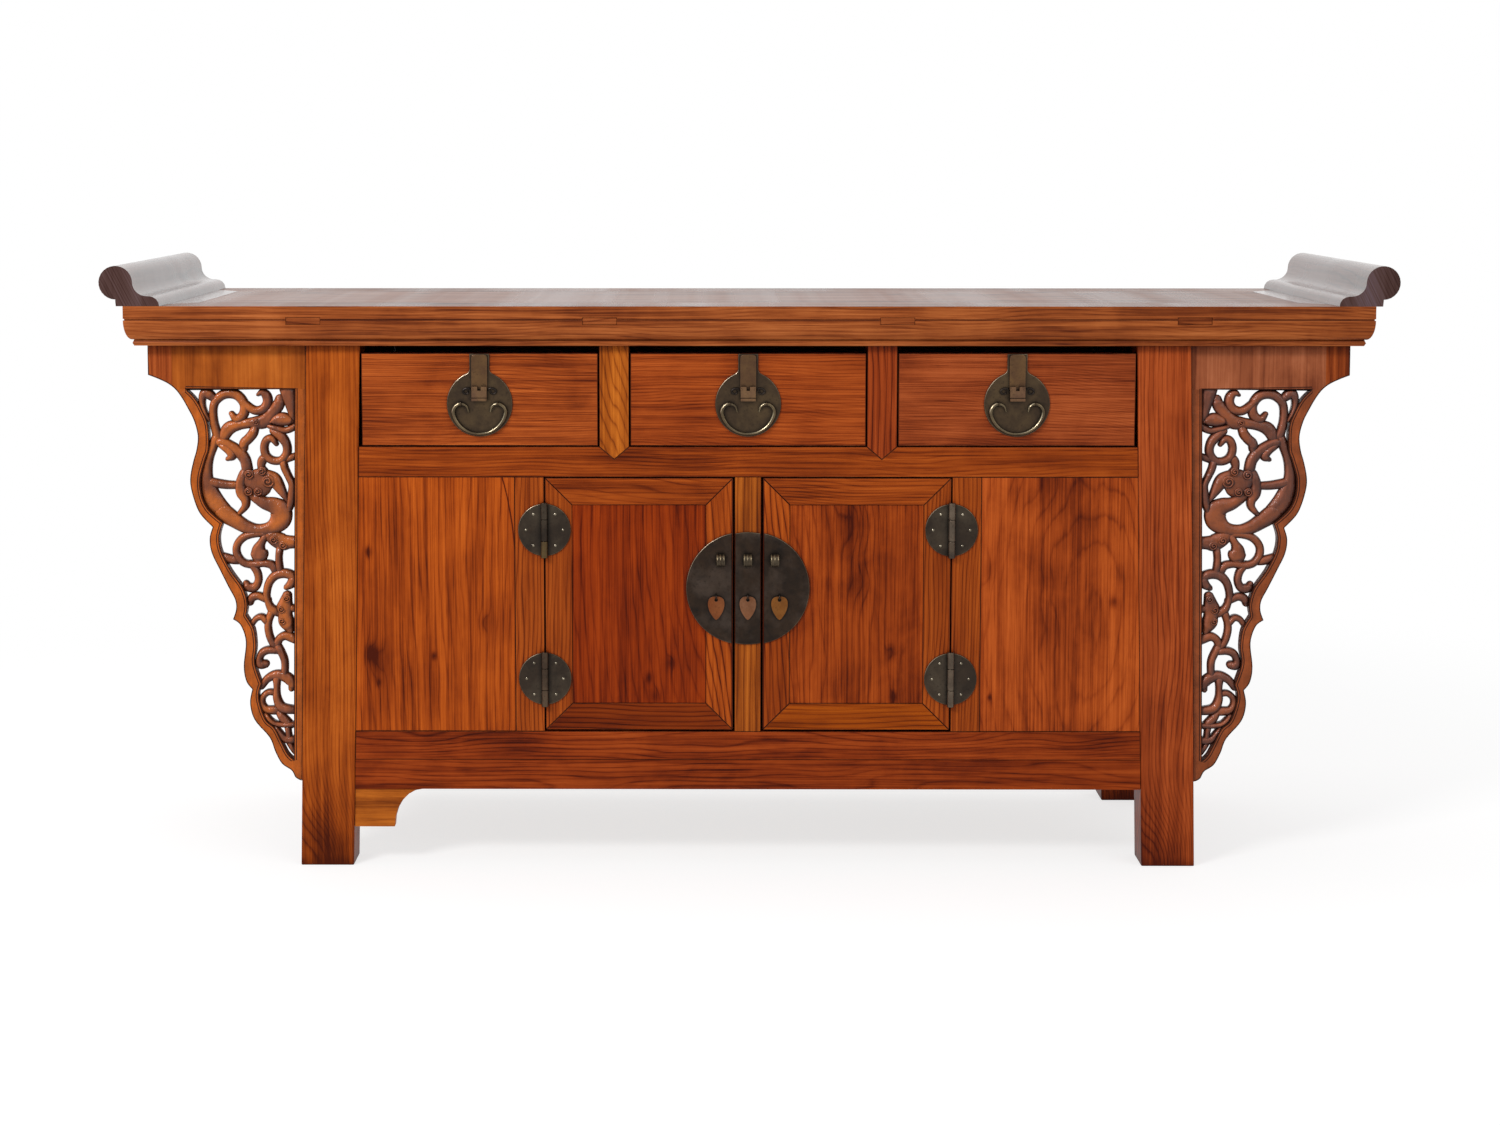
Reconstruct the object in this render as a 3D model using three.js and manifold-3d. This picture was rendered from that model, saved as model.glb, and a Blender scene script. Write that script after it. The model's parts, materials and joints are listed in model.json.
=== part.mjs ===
// An altar coffer: a table top with everted flanges, three drawers over a two-door cupboard, splayed
// legs and pierced spandrels. Millimetres, +X to the right, +Y to the back, +Z up. The front faces -Y,
// and the origin is on the floor under the middle of the coffer.
import * as THREE from "three";
import { mergeVertices } from "three/addons/utils/BufferGeometryUtils.js";
import Module from "manifold-3d";

const wasm = await Module();
wasm.setup();

// Joints of the woodwork
const seamGap = 0.3;
const cutOverrun = 5;

// Top: a mitred frame round a floating panel
const topLength = 1869;
const topDepth = 500;
const topThickness = 60;
const topMemberWidth = 95;
const topPanelThickness = 20;
const bandHeight = 19;
const grooveHeight = 2.4;
const grooveDepth = 1.6;
const ovoloHeight = 29;
const ovoloInset = 11.2;
const beadHeight = 8.6;
const beadInset = 13.5;
const ovoloSteps = 10;

// Battens under the panel, with tenons that show on the moulding
const battenWidth = 56;
const battenHeight = 34;
const battenPlaceShares = [-0.356, -0.119, 0.119, 0.356];
const tenonWidth = 51;
const tenonHeight = 10.5;
const tenonFromTop = 16.8;
const tenonRecess = 1;

// Everted flanges, measured outwards from the end of the top and up from its face
const flangeFootOut = 10;
const flangeFootHeight = 9.6;
const flangeFootFlare = 0.8;
const rollRadius = 25.2;
const rollCentreUp = 35.1;
const rollSteps = 20;
const coveRadius = 21.4;
const coveSteps = 8;
const toeLanding = 3;
const toeWidth = 15.3;
const toeHeight = 15;
const toeSteps = 4;

// Legs, splayed sideways
const legWidth = 81;
const legDepth = 61;
const legSplay = 18;
const legSetIn = 349.5;
const frontSetback = 28;

// Front, from the top down; what is left of the table's height is the room under the apron
const tableHeight = 860;
const apronHeight = 46;
const bottomRailHeight = 44;
const doorOpeningHeight = 391;
const midRailHeight = 46;
const drawerOpeningHeight = 154;
const apronThickness = 20;
const bottomRailDepth = 32;
const midRailDepth = 40;
const bracketWidth = 104;
const bracketFootWidth = 60;
const bracketHeight = 59;
const bracketThickness = 16;
const bracketSetback = 2;
const bracketSteps = 6;

// Dividers between the drawers, pointed at the bottom
const dividerCentre = 202;
const dividerWidth = 45;
const dividerPoint = 19;

// Cupboard front
const postWidth = 40;
const postDepth = 28;
const doorWidth = 284.5;
const doorThickness = 24;
const doorMember = 41;
const doorPanelThickness = 14;
const doorPanelRecess = 1;
const centreGap = 2.7;
const hingeGap = 1.8;
const doorTopGap = 1.6;
const doorBottomGap = 2.8;
const stileWidth = 44;
const stileDepth = 30;
const frontPanelThickness = 14;
const frontPanelRecess = 1;

// Sides, back, deck and floor
const sideRailInset = 4;
const sidePanelInset = 12;
const panelThickness = 14;
const deckThickness = 14;
const floorThickness = 14;
const floorDrop = 9;
const guideHeight = 18;
const guideWidth = 36;

// Drawers
const drawerTopGap = 12.4;
const drawerBottomGap = 1.6;
const drawerSideGap = 2;
const drawerFrontThickness = 20;
const drawerBoxHeight = 108;
const drawerBoxWall = 10;
const drawerBoxBottom = 8;
const drawerBoxInset = 2;
const drawerBackRoom = 26;
const runningGap = 0.4;

// Round hinges
const hingeRadius = 39.8;
const hingePlate = 1.8;
const hingeInset = 79;
const barrelRadius = 5.5;
const barrelOverhang = 2.2;
const barrelStandoff = 0.5;
const leafStart = 4.2;
const knuckleGap = 0.4;
const knuckleShares = [0.3, 0.4, 0.3];
const hingePinRadius = 2.2;
const pinClearance = 0.4;
const leafSteps = 14;
const barrelSides = 12;

// Round lock plate in three pieces
const lockRadius = 86;
const lockPlate = 2;
const lockRise = 25;
const lockSpread = 7.5;
const lockEdgeInset = 1.9;
const postPlateMargin = 1;
const lockSteps = 20;
const lugSpacing = 41;
const lugRise = 44;
const lugWidth = 12;
const lugHeight = 18;
const lugReach = 17;
const lugHole = 7.5;
const lugNoseAngle = 60;
const lugNoseSteps = 4;

// Leaf pendants on wire eyes
const pendantSpacing = 48;
const pendantDrop = 13;
const pendantWidth = 26;
const pendantLength = 37;
const pendantThickness = 1.6;
const pendantMargin = 1.6;
const pendantHoleRadius = 2.2;
const pendantStandoff = 1.2;
const eyeRadius = 4.2;
const eyeWire = 1;
const eyeSides = 6;
const eyeSteps = 14;
const pendantOutlineShares = [
  [0.16, 0],
  [0.34, 0.035],
  [0.47, 0.15],
  [0.5, 0.32],
  [0.44, 0.52],
  [0.3, 0.74],
  [0.12, 0.93],
];

// Drawer hardware: back plate, bolt and bail
const plateRadius = 49.5;
const plateThickness = 1.8;
const plateRise = 63.6;
const plateSteps = 28;
const tabWidth = 30;
const tabTopMargin = 0.8;
const tabFlare = 9;
const boltWidth = 24;
const boltThickness = 3;
const boltLength = 48;
const boltTopMargin = 1.6;
const boltTravel = 18;
const boltCorner = 5;
const knobWidth = 23;
const knobHeight = 22;
const knobDepth = 8;
const knobSlotWidth = 5;
const knobSlotHeight = 6;
const knobLipHeight = 4;
const knobLipDepth = 1.6;
const boltPocketClearance = 1;
const bailHalfWidth = 39.5;
const bailDrop = 45;
const bailWire = 2.1;
const bailStandoff = 1;
const bailSteps = 34;
const bailSides = 7;
const bailEyeThickness = 2.6;
const bailEyeWall = 1.6;
const bailEyeClearance = 0.5;
const bailEyeSteps = 10;
// Half of the bail from its middle to the tip, in shares of its half width and of its drop
const bailPathShares = [
  [0, 1],
  [0.24, 0.98],
  [0.47, 0.91],
  [0.74, 0.74],
  [0.93, 0.5],
  [1, 0.27],
  [0.93, 0.1],
  [0.8, 0.012],
  [0.7, 0],
  [0.6, 0.012],
  [0.48, 0.09],
  [0.42, 0.26],
];
const bailEyeShare = 0.7;

// Spandrels: a head under the top, a lobed rim and the carving between the rim and the leg
const spandrelReach = 240.4;
const spandrelDrop = 669.4;
const spandrelThickness = 18;
const spandrelSetback = 7;
const endBoardThickness = 16;
const endBoardHeight = 45.5;
const rimSteps = 2;
const strandSteps = 1;

// The spandrel is drawn on the pixels of the photograph, from the left edge of the leg outwards and
// from the underside of the top down to the tip
const legEdgePx = 309.7;
const outerEndPx = 150.8;
const spandrelTopPx = 342.8;
const spandrelTipPx = 785.2;
// Outer edge of the rim, one list for each lobe, and the inner edge in the same way
const rimOuterPx = [
  [[150.8, 373], [160.2, 376.6], [170.7, 381.7], [178.4, 388], [184.7, 396.8], [190.3, 407], [196, 419],
    [199.5, 434], [198, 448], [194.6, 459.6], [191.5, 474], [191.6, 486], [196, 503], [201.6, 514.4],
    [212.8, 526.3]],
  [[212.8, 526.3], [209.6, 538], [211.4, 552.3], [219, 569], [227.9, 587.4], [234.2, 600], [235, 610],
    [231.7, 620]],
  [[231.7, 620], [239.4, 626.3], [244.3, 643], [241.8, 667.3], [244, 683], [250, 691.5]],
  [[250, 691.5], [247.6, 706], [252, 723], [266.8, 741], [272.4, 755.7], [279, 768], [288.5, 774.8],
    [292.5, 782], [297.7, 785.2]],
];
const rimInnerPx = [
  [[188.2, 387.2], [197.4, 396.5], [204.4, 409], [209.8, 424], [210, 447], [206.5, 458], [201.2, 477],
    [202.3, 494.7], [209, 509], [223.3, 522]],
  [[223.3, 522], [219.2, 536], [221, 551], [230, 570], [242, 588], [246.4, 604], [245, 616]],
  [[245, 616], [252.6, 630], [254.6, 648], [253, 665], [259.4, 686]],
  [[259.4, 686], [256.3, 700], [262.6, 722], [272, 731.5], [279.5, 747], [285, 758], [291, 764]],
];
const stripTopPx = [297.2, 387.2];
// Carved strands: points along the middle of each, with its width there
const strandsPx = [
  // Arch, great scroll and its branch under the head
  [[210, 418.5, 4], [203.4, 406, 5], [203.6, 394, 5.5], [209, 389, 6], [215, 398, 6]],
  [[217.6, 437, 8], [213.6, 420, 6.5], [214, 404.4, 6.5], [219.8, 395.7, 8], [228.5, 391.9, 9],
    [238, 394, 9], [244.2, 403, 8.5], [243.6, 413, 8.5], [236.6, 417.9, 7.5], [231.7, 413, 4]],
  [[240.4, 396.8, 7], [248, 404.4, 7], [256.5, 410.4, 7.5], [265.5, 409, 8], [270.2, 402, 8],
    [269, 394, 8], [263.5, 391.4, 5.5], [260, 394, 3.5]],
  // Long snout with its boss, the hanging leaf and the lips beside it
  [[222, 440, 6], [231.7, 426.5, 9], [242.6, 424, 9], [254, 421.4, 10.5], [265, 419.5, 12],
    [273, 412.5, 11], [280.5, 401, 9]],
  [[286, 385, 12], [290.5, 401, 12], [295, 418, 9]],
  [[272, 423, 8], [284, 422.5, 14], [298, 423.5, 13]],
  // Ring scroll at the leg and its tail
  [[275.6, 442.4, 4], [271, 436, 6.5], [264.6, 442, 7.5], [264.3, 451.5, 7.5], [269.5, 458.8, 8],
    [279, 460, 8], [287.5, 454.5, 8], [288.6, 443.5, 8], [284, 432.5, 8.5], [276, 426, 7]],
  [[286, 457.5, 6], [298, 454.5, 5]],
  // Ribbed limb, stem along the rim and the band to the head of the beast
  [[253.4, 427, 8], [249, 436, 8.5], [243.2, 442.4, 9], [241.5, 450, 8]],
  [[216.6, 434, 8.5], [213.5, 444, 8], [209.5, 455, 6], [208, 466, 5.5], [208.4, 478, 6], [211, 492, 10],
    [219, 506, 12], [226, 513, 11]],
  [[216, 440, 8], [226.3, 440.9, 7.5], [236, 447.5, 8.5], [243.5, 453.5, 9.5], [247.5, 462, 9],
    [250, 471, 9]],
  [[220.9, 443.5, 6], [229.5, 449.3, 7], [232.6, 456, 7.5], [226.5, 458.5, 4.5]],
  // Head of the beast with its ear, beard and the bar from the rim
  [[243.5, 477, 9], [251, 479.5, 20], [260, 481.5, 27], [270, 479.5, 18], [275.5, 481, 13],
    [281, 489.5, 8], [287.5, 500, 3.5]],
  [[241, 474, 8], [238, 486, 7.5], [241, 496, 8.5], [245.4, 503.5, 7], [239, 513, 4.5]],
  [[206, 480.5, 9], [217.5, 483, 8], [228, 484.4, 7.5], [239, 484.6, 7]],
  // Body of the beast
  [[219, 509, 11], [232.7, 519, 12], [243.5, 526.6, 11], [257, 529.8, 10], [270, 528.5, 12],
    [279.5, 521, 16], [281, 510.5, 17], [274, 504, 14], [262.5, 501.5, 11], [251.5, 493.5, 8]],
  [[298, 470, 5], [290, 471.5, 6], [286.5, 461, 5.5]],
  [[284, 457, 6], [286, 466, 7], [292.4, 478, 6.5], [292, 492, 7], [287, 503, 7], [284, 510, 6]],
  // Ring below the body, the claw in it and its bar
  [[268, 533.5, 7], [254.4, 534, 7], [242.5, 537.3, 7.5], [235.6, 545.5, 7.5], [235.4, 554.8, 7.5],
    [241.4, 563, 7.5], [251, 565.6, 7.5], [262, 564, 7.5], [272, 566, 7.5], [276, 572, 7]],
  [[265.2, 534, 6], [260.9, 543, 7], [258.4, 549, 11], [257.6, 554, 15], [257, 561, 12]],
  [[222, 557.6, 8], [236, 558.9, 8]],
  // Knot of curls and the limb under it
  [[266, 533, 9], [275, 538.5, 13], [284, 543.5, 14], [291, 545, 11], [299, 546, 10]],
  [[279, 548, 8], [277.2, 558.9, 7], [278.6, 572, 8]],
  // Hooks and the open scroll
  [[248, 564, 6], [254.8, 572, 6.5], [256.8, 580.6, 7], [252.2, 588.2, 7.5], [245.6, 588, 7],
    [243, 584, 5]],
  [[293.6, 584, 6], [291.5, 577, 8], [283, 574.1, 8], [273.9, 576.6, 8], [267.4, 584, 7], [265, 594.7, 7],
    [266.6, 604.5, 7], [271, 613, 7.5], [279, 616.5, 6]],
  [[294, 576, 6], [292, 584, 7], [286, 588, 4.5]],
  [[246, 603.5, 5], [249.5, 598.4, 7], [257, 597.4, 7], [266, 602, 7]],
  // Cloud scroll at the leg
  [[284.8, 596, 9], [282.8, 606, 12], [283.6, 616, 10], [284.5, 623, 12], [290.5, 632, 9]],
  [[286, 608, 7], [296, 611, 7]],
  // Stems, arches and curls of the lower half
  [[270.5, 611, 7.5], [266.6, 621.8, 7], [266, 631, 6.5], [270.6, 645, 6], [276, 651, 6]],
  [[247.6, 625, 5], [253, 619, 6], [260, 619, 6], [266, 627, 6]],
  [[272.4, 649, 7], [276.5, 640, 7], [284.5, 636.4, 7.5], [291.5, 640, 7.5], [296, 644, 6]],
  [[273.4, 646.7, 7], [279.6, 655, 7], [284, 664.5, 7], [283.2, 679, 7]],
  [[276, 652, 7], [266.7, 651, 7], [259.6, 653.8, 7], [255.6, 660.5, 7], [257, 666.4, 8.5],
    [262, 667.6, 6]],
  [[256, 690, 6], [263, 680.4, 7.5], [273.6, 676.6, 7.5], [284, 678.4, 8], [289.6, 685, 8], [290, 692, 6]],
  [[272.6, 677, 9], [273.6, 690.4, 6.5], [275.4, 702, 8.5], [281.4, 712, 8.5], [292, 714.5, 7]],
  [[273.6, 697, 5], [264.4, 695.2, 5.5], [258.6, 700.6, 5.5], [258.8, 709, 6], [265, 714.5, 6.5],
    [275, 715, 6.5]],
  [[276, 717, 7], [281, 723.5, 8.5], [287.5, 729.4, 7]],
  [[262.5, 719, 5], [270, 726.6, 5], [280, 728.8, 5.5], [293, 728.4, 5.5]],
  [[284, 729.5, 6.5], [285.2, 738, 5.5], [286, 745, 7]],
  [[272, 731, 4], [279.3, 743.4, 5], [293, 744.6, 5.5]],
  [[284.4, 746, 5.5], [291.6, 757, 6]],
];

// Levels above the floor
const topUnderside = tableHeight - topThickness;
const midRailTop = topUnderside - drawerOpeningHeight;
const midRailBottom = midRailTop - midRailHeight;
const bottomRailTop = midRailBottom - doorOpeningHeight;
const apronTop = bottomRailTop - bottomRailHeight;
const apronBottom = apronTop - apronHeight;

// Planes from front to back
const topFront = -topDepth / 2;
const facade = topFront + frontSetback;
const rear = -facade;
const legBack = facade + legDepth;
const backBoardFront = rear - sidePanelInset - panelThickness;

// Splay of the legs: half the distance between their inner faces, and between their outer ones
const legInnerAtTop = topLength / 2 - legSetIn;
const legInnerAtFloor = legInnerAtTop + legSplay;
const legInner = (z) => legInnerAtFloor + ((legInnerAtTop - legInnerAtFloor) * z) / topUnderside;
const legOuter = (z) => legInner(z) + legWidth;

const frontElm = new THREE.MeshStandardMaterial({ color: 0xa8581f, roughness: 0.42, metalness: 0 });
const redElm = new THREE.MeshStandardMaterial({ color: 0x97451d, roughness: 0.42, metalness: 0 });
const carvedElm = new THREE.MeshStandardMaterial({ color: 0xa9591e, roughness: 0.45, metalness: 0 });
const lacquer = new THREE.MeshStandardMaterial({ color: 0x5a332a, roughness: 0.22, metalness: 0 });
const innerWood = new THREE.MeshStandardMaterial({ color: 0xa37a4e, roughness: 0.75, metalness: 0 });
const darkBrass = new THREE.MeshStandardMaterial({ color: 0x4a4236, roughness: 0.4, metalness: 0.9 });
const copperBrass = new THREE.MeshStandardMaterial({ color: 0x8a5c34, roughness: 0.4, metalness: 0.9 });

const coffer = new THREE.Group();

// Adds a named mesh to a group, whose own place the mesh takes
function add(name, geometry, material, group = coffer) {
  const mesh = new THREE.Mesh(geometry, material);
  mesh.name = name;
  group.add(mesh);
  return mesh;
}

function groupAt(x, y, z) {
  const group = new THREE.Group();
  group.position.set(x, y, z);
  coffer.add(group);
  return group;
}

// Points on an ellipse, from one angle to another in degrees
function arc(centreX, centreY, radiusX, radiusY, from, to, steps) {
  return Array.from({ length: steps + 1 }, (_, i) => {
    const angle = THREE.MathUtils.degToRad(from + ((to - from) * i) / steps);
    return [centreX + radiusX * Math.cos(angle), centreY + radiusY * Math.sin(angle)];
  });
}

const vectors = (points) => points.map(([a, b]) => new THREE.Vector2(a, b));

function extruded(outline, depth, holes) {
  const shape = new THREE.Shape(vectors(outline));
  holes.forEach((hole) => shape.holes.push(new THREE.Path(vectors(hole))));
  return new THREE.ExtrudeGeometry(shape, { depth, bevelEnabled: false });
}

// An outline in X and Z, given thickness from yFront to the back
function frontPrism(outline, yFront, depth, holes = []) {
  const geometry = extruded(outline, depth, holes);
  return geometry.rotateX(Math.PI / 2).translate(0, yFront + depth, 0);
}

// An outline in X and Y, given height from zBottom up
function planPrism(outline, zBottom, height) {
  return extruded(outline, height, []).translate(0, 0, zBottom);
}

// An outline in Y and Z, given width from xLeft to the right
function sidePrism(outline, xLeft, width, holes = []) {
  const turn = new THREE.Matrix4().makeBasis(
    new THREE.Vector3(0, 1, 0),
    new THREE.Vector3(0, 0, 1),
    new THREE.Vector3(1, 0, 0),
  );
  return extruded(outline, width, holes).applyMatrix4(turn).translate(xLeft, 0, 0);
}

function block(x0, x1, y0, y1, z0, z1) {
  const geometry = new THREE.BoxGeometry(x1 - x0, y1 - y0, z1 - z0);
  return geometry.translate((x0 + x1) / 2, (y0 + y1) / 2, (z0 + z1) / 2);
}

// The same shape on the other side of the middle plane, with its faces still pointing out
function mirrored(source) {
  const geometry = source.clone().scale(-1, 1, 1);
  if (!geometry.index) geometry.setIndex([...Array(geometry.attributes.position.count).keys()]);
  const corners = geometry.index.array;
  for (let i = 0; i < corners.length; i += 3) {
    [corners[i + 1], corners[i + 2]] = [corners[i + 2], corners[i + 1]];
  }
  return geometry;
}

const onSide = (side, geometry) => (side > 0 ? geometry : mirrored(geometry));

function solidOf(source) {
  const bare = source.clone();
  bare.deleteAttribute("normal");
  bare.deleteAttribute("uv");
  const merged = mergeVertices(bare);
  return new wasm.Manifold(
    new wasm.Mesh({
      numProp: 3,
      vertProperties: Float32Array.from(merged.attributes.position.array),
      triVerts: Uint32Array.from(merged.index.array),
    }),
  );
}

function geometryOf(solid) {
  const mesh = solid.getMesh();
  const geometry = new THREE.BufferGeometry();
  geometry.setAttribute("position", new THREE.BufferAttribute(mesh.vertProperties, mesh.numProp));
  geometry.setIndex(new THREE.BufferAttribute(mesh.triVerts, 1));
  return geometry;
}

const joined = (...parts) => geometryOf(parts.map(solidOf).reduce((all, next) => all.add(next)));

function cut(body, ...tools) {
  return geometryOf(tools.map(solidOf).reduce((left, tool) => left.subtract(tool), solidOf(body)));
}

// A round bar along Z
function rod(x, y, zBottom, radius, length, sides) {
  const bar = new THREE.CylinderGeometry(radius, radius, length, sides);
  return bar.rotateX(Math.PI / 2).translate(x, y, zBottom + length / 2);
}

// A member between the two legs of one end plane, whose ends follow the splay
function betweenLegs(zBottom, zTop, yFront, depth) {
  const low = legInner(zBottom) - seamGap;
  const high = legInner(zTop) - seamGap;
  return frontPrism([[-low, zBottom], [low, zBottom], [high, zTop], [-high, zTop]], yFront, depth);
}

// Section of the top frame: distance in from the outer edge, and height
function mouldingSection() {
  const bandBottom = tableHeight - bandHeight;
  const ovoloTop = bandBottom - grooveHeight;
  const ovolo = arc(ovoloInset, ovoloTop, ovoloInset, ovoloHeight, 180, 270, ovoloSteps);
  return [
    [0, tableHeight],
    [0, bandBottom],
    [grooveDepth, bandBottom],
    [grooveDepth, ovoloTop],
    ...ovolo,
    [beadInset, ovoloTop - ovoloHeight],
    [ovoloInset, topUnderside + beadHeight / 2],
    [beadInset, topUnderside],
    [topMemberWidth, topUnderside],
    [topMemberWidth, tableHeight],
  ];
}

// A frame member along X with its outer edge at the front, mitred at both ends
function mitredMember(length, endGap) {
  const geometry = extruded(mouldingSection(), length, []);
  const place = geometry.attributes.position;
  for (let i = 0; i < place.count; i += 1) {
    const inwards = place.getX(i);
    const height = place.getY(i);
    const end = place.getZ(i) > 0 ? 1 : -1;
    place.setXYZ(i, end * (length / 2 - inwards - endGap), inwards, height);
  }
  return geometry;
}

function topFrameRails() {
  const mortises = battenPlaceShares.map((share) => {
    const x = share * topLength;
    const half = tenonWidth / 2 + seamGap;
    const zTop = tableHeight - tenonFromTop + seamGap;
    const zBottom = zTop - tenonHeight - 2 * seamGap;
    return block(x - half, x + half, -cutOverrun, topMemberWidth + cutOverrun, zBottom, zTop);
  });
  const rail = cut(mitredMember(topLength, 0), ...mortises);
  const front = groupAt(0, topFront, 0);
  add("top_front_rail", rail, frontElm, front);
  const back = groupAt(0, -topFront, 0);
  back.rotation.z = Math.PI;
  add("top_rear_rail", rail.clone(), frontElm, back);
}

function topPanel() {
  const halfLength = topLength / 2 - topMemberWidth - seamGap;
  const halfDepth = topDepth / 2 - topMemberWidth - seamGap;
  const panelBottom = tableHeight - topPanelThickness;
  const board = block(-halfLength, halfLength, -halfDepth, halfDepth, panelBottom, tableHeight);
  const tenonTop = tableHeight - tenonFromTop;
  const tenonEnd = topDepth / 2 - tenonRecess;
  const battens = battenPlaceShares.flatMap((share) => {
    const x = share * topLength;
    const half = battenWidth / 2;
    const tenon = tenonWidth / 2;
    return [
      block(x - half, x + half, -halfDepth, halfDepth, panelBottom - battenHeight, panelBottom),
      block(x - tenon, x + tenon, -tenonEnd, tenonEnd, tenonTop - tenonHeight, tenonTop),
    ];
  });
  add("top_panel", joined(board, ...battens), lacquer);
}

// Section of a flange: outwards from the end of the top, and up from its face
function flangeSection() {
  const joinAngle = 180;
  const roll = arc(flangeFootOut, rollCentreUp, rollRadius, rollRadius, -90, joinAngle, rollSteps);
  const coveTop = flangeFootOut - rollRadius;
  const cove = arc(coveTop - coveRadius, rollCentreUp, coveRadius, rollCentreUp - toeHeight, 0, -90, coveSteps);
  const toeStart = coveTop - coveRadius - toeLanding;
  const toe = arc(toeStart, 0, toeWidth, toeHeight, 90, 180, toeSteps);
  return [
    [flangeFootOut, 0],
    [flangeFootOut + flangeFootFlare, flangeFootHeight],
    ...roll,
    ...cove.slice(1),
    ...toe,
  ];
}

function flange(side) {
  const outline = flangeSection().map(([out, up]) => [topLength / 2 + out, tableHeight + up]);
  const scroll = frontPrism(outline, topFront, topDepth);
  const rail = mitredMember(topDepth, seamGap);
  rail.rotateZ(Math.PI / 2).translate(topLength / 2, 0, 0);
  return onSide(side, joined(scroll, rail));
}

function leg(side, yFront) {
  const legTop = topUnderside - seamGap;
  const outline = [
    [legInner(0), 0],
    [legOuter(0), 0],
    [legOuter(legTop), legTop],
    [legInner(legTop), legTop],
  ];
  return onSide(side, frontPrism(outline, yFront, legDepth));
}

// The mid rail, notched for the pointed feet of the dividers
function midRail() {
  const low = legInner(midRailBottom) - seamGap;
  const high = legInner(midRailTop) - seamGap;
  const half = dividerWidth / 2 + seamGap;
  const notch = (centre) => [
    [centre + half, midRailTop],
    [centre, midRailTop - dividerPoint - seamGap],
    [centre - half, midRailTop],
  ];
  const outline = [
    [-low, midRailBottom],
    [low, midRailBottom],
    [high, midRailTop],
    ...notch(dividerCentre),
    ...notch(-dividerCentre),
    [-high, midRailTop],
  ];
  return frontPrism(outline, facade, midRailDepth);
}

function divider(side) {
  const half = dividerWidth / 2;
  const dividerTop = topUnderside - seamGap;
  const outline = [
    [dividerCentre, midRailTop - dividerPoint],
    [dividerCentre + half, midRailTop],
    [dividerCentre + half, dividerTop],
    [dividerCentre - half, dividerTop],
    [dividerCentre - half, midRailTop],
  ];
  return onSide(side, frontPrism(outline, facade, midRailDepth));
}

// The bracket in the corner of the left leg and the apron
function cornerBracket() {
  const bracketTop = apronBottom - seamGap;
  const bracketBottom = bracketTop - bracketHeight;
  const legAtTop = -legInner(bracketTop) + seamGap;
  const legAtBottom = -legInner(bracketBottom) + seamGap;
  const toe = legAtTop + bracketWidth;
  const bend = bracketWidth - bracketFootWidth;
  const curve = arc(toe, bracketBottom, bend, bracketHeight, 90, 180, bracketSteps);
  const outline = [[legAtTop, bracketTop], ...curve, [legAtBottom, bracketBottom]];
  return frontPrism(outline, facade + bracketSetback, bracketThickness);
}

// Half the width of the door opening, measured to the stile
const doorOpening = postWidth / 2 + centreGap + doorWidth + hingeGap;
const stileOuter = doorOpening + stileWidth;
const cupboardBottom = bottomRailTop + seamGap;
const cupboardTop = midRailBottom - seamGap;

function doorStile(side) {
  const zSpan = [cupboardBottom, cupboardTop];
  return onSide(side, block(doorOpening, stileOuter, facade, facade + stileDepth, ...zSpan));
}

function frontPanel(side) {
  const inner = stileOuter + seamGap;
  const outline = [
    [inner, cupboardBottom],
    [legInner(cupboardBottom) - seamGap, cupboardBottom],
    [legInner(cupboardTop) - seamGap, cupboardTop],
    [inner, cupboardTop],
  ];
  return onSide(side, frontPrism(outline, facade + frontPanelRecess, frontPanelThickness));
}

// A side panel with its bottom and middle rails standing proud of it
function sidePanel(side) {
  const panelTop = topUnderside - seamGap;
  const railAt = (z) => [legOuter(z) - sideRailInset, z];
  const faceAt = (z) => [legOuter(z) - sidePanelInset, z];
  const innerAt = (z) => [legOuter(z) - sidePanelInset - panelThickness, z];
  const outline = [
    innerAt(apronTop),
    railAt(apronTop),
    railAt(bottomRailTop),
    faceAt(bottomRailTop),
    faceAt(midRailBottom),
    railAt(midRailBottom),
    railAt(midRailTop),
    faceAt(midRailTop),
    faceAt(panelTop),
    innerAt(panelTop),
  ];
  const depth = 2 * (-legBack - seamGap);
  return onSide(side, frontPrism(outline, legBack + seamGap, depth));
}

// The back panel with its bottom and middle rails standing proud of it
function backPanel() {
  const railDepth = sidePanelInset - sideRailInset + panelThickness;
  return joined(
    betweenLegs(apronTop, topUnderside - seamGap, backBoardFront, panelThickness),
    betweenLegs(apronTop, bottomRailTop, backBoardFront, railDepth),
    betweenLegs(midRailBottom, midRailTop, backBoardFront, railDepth),
  );
}

// Outline of a board that fills the carcass between its legs and panels
function carcassPlan(zTop, frontMemberDepth) {
  const nearLegs = legInner(zTop) - seamGap;
  const nearPanels = legOuter(zTop) - sidePanelInset - panelThickness - seamGap;
  const front = facade + frontMemberDepth + seamGap;
  const legZone = -legBack - seamGap;
  const back = backBoardFront - seamGap;
  const right = [
    [nearLegs, front],
    [nearLegs, -legZone],
    [nearPanels, -legZone],
    [nearPanels, legZone],
    [nearLegs, legZone],
    [nearLegs, back],
  ];
  return [...right, ...right.map(([x, y]) => [-x, y]).reverse()];
}

const dividerOuter = dividerCentre + dividerWidth / 2;
const dividerInner = dividerCentre - dividerWidth / 2;
const outerDrawerEdge = legInnerAtTop - drawerSideGap;

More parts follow.
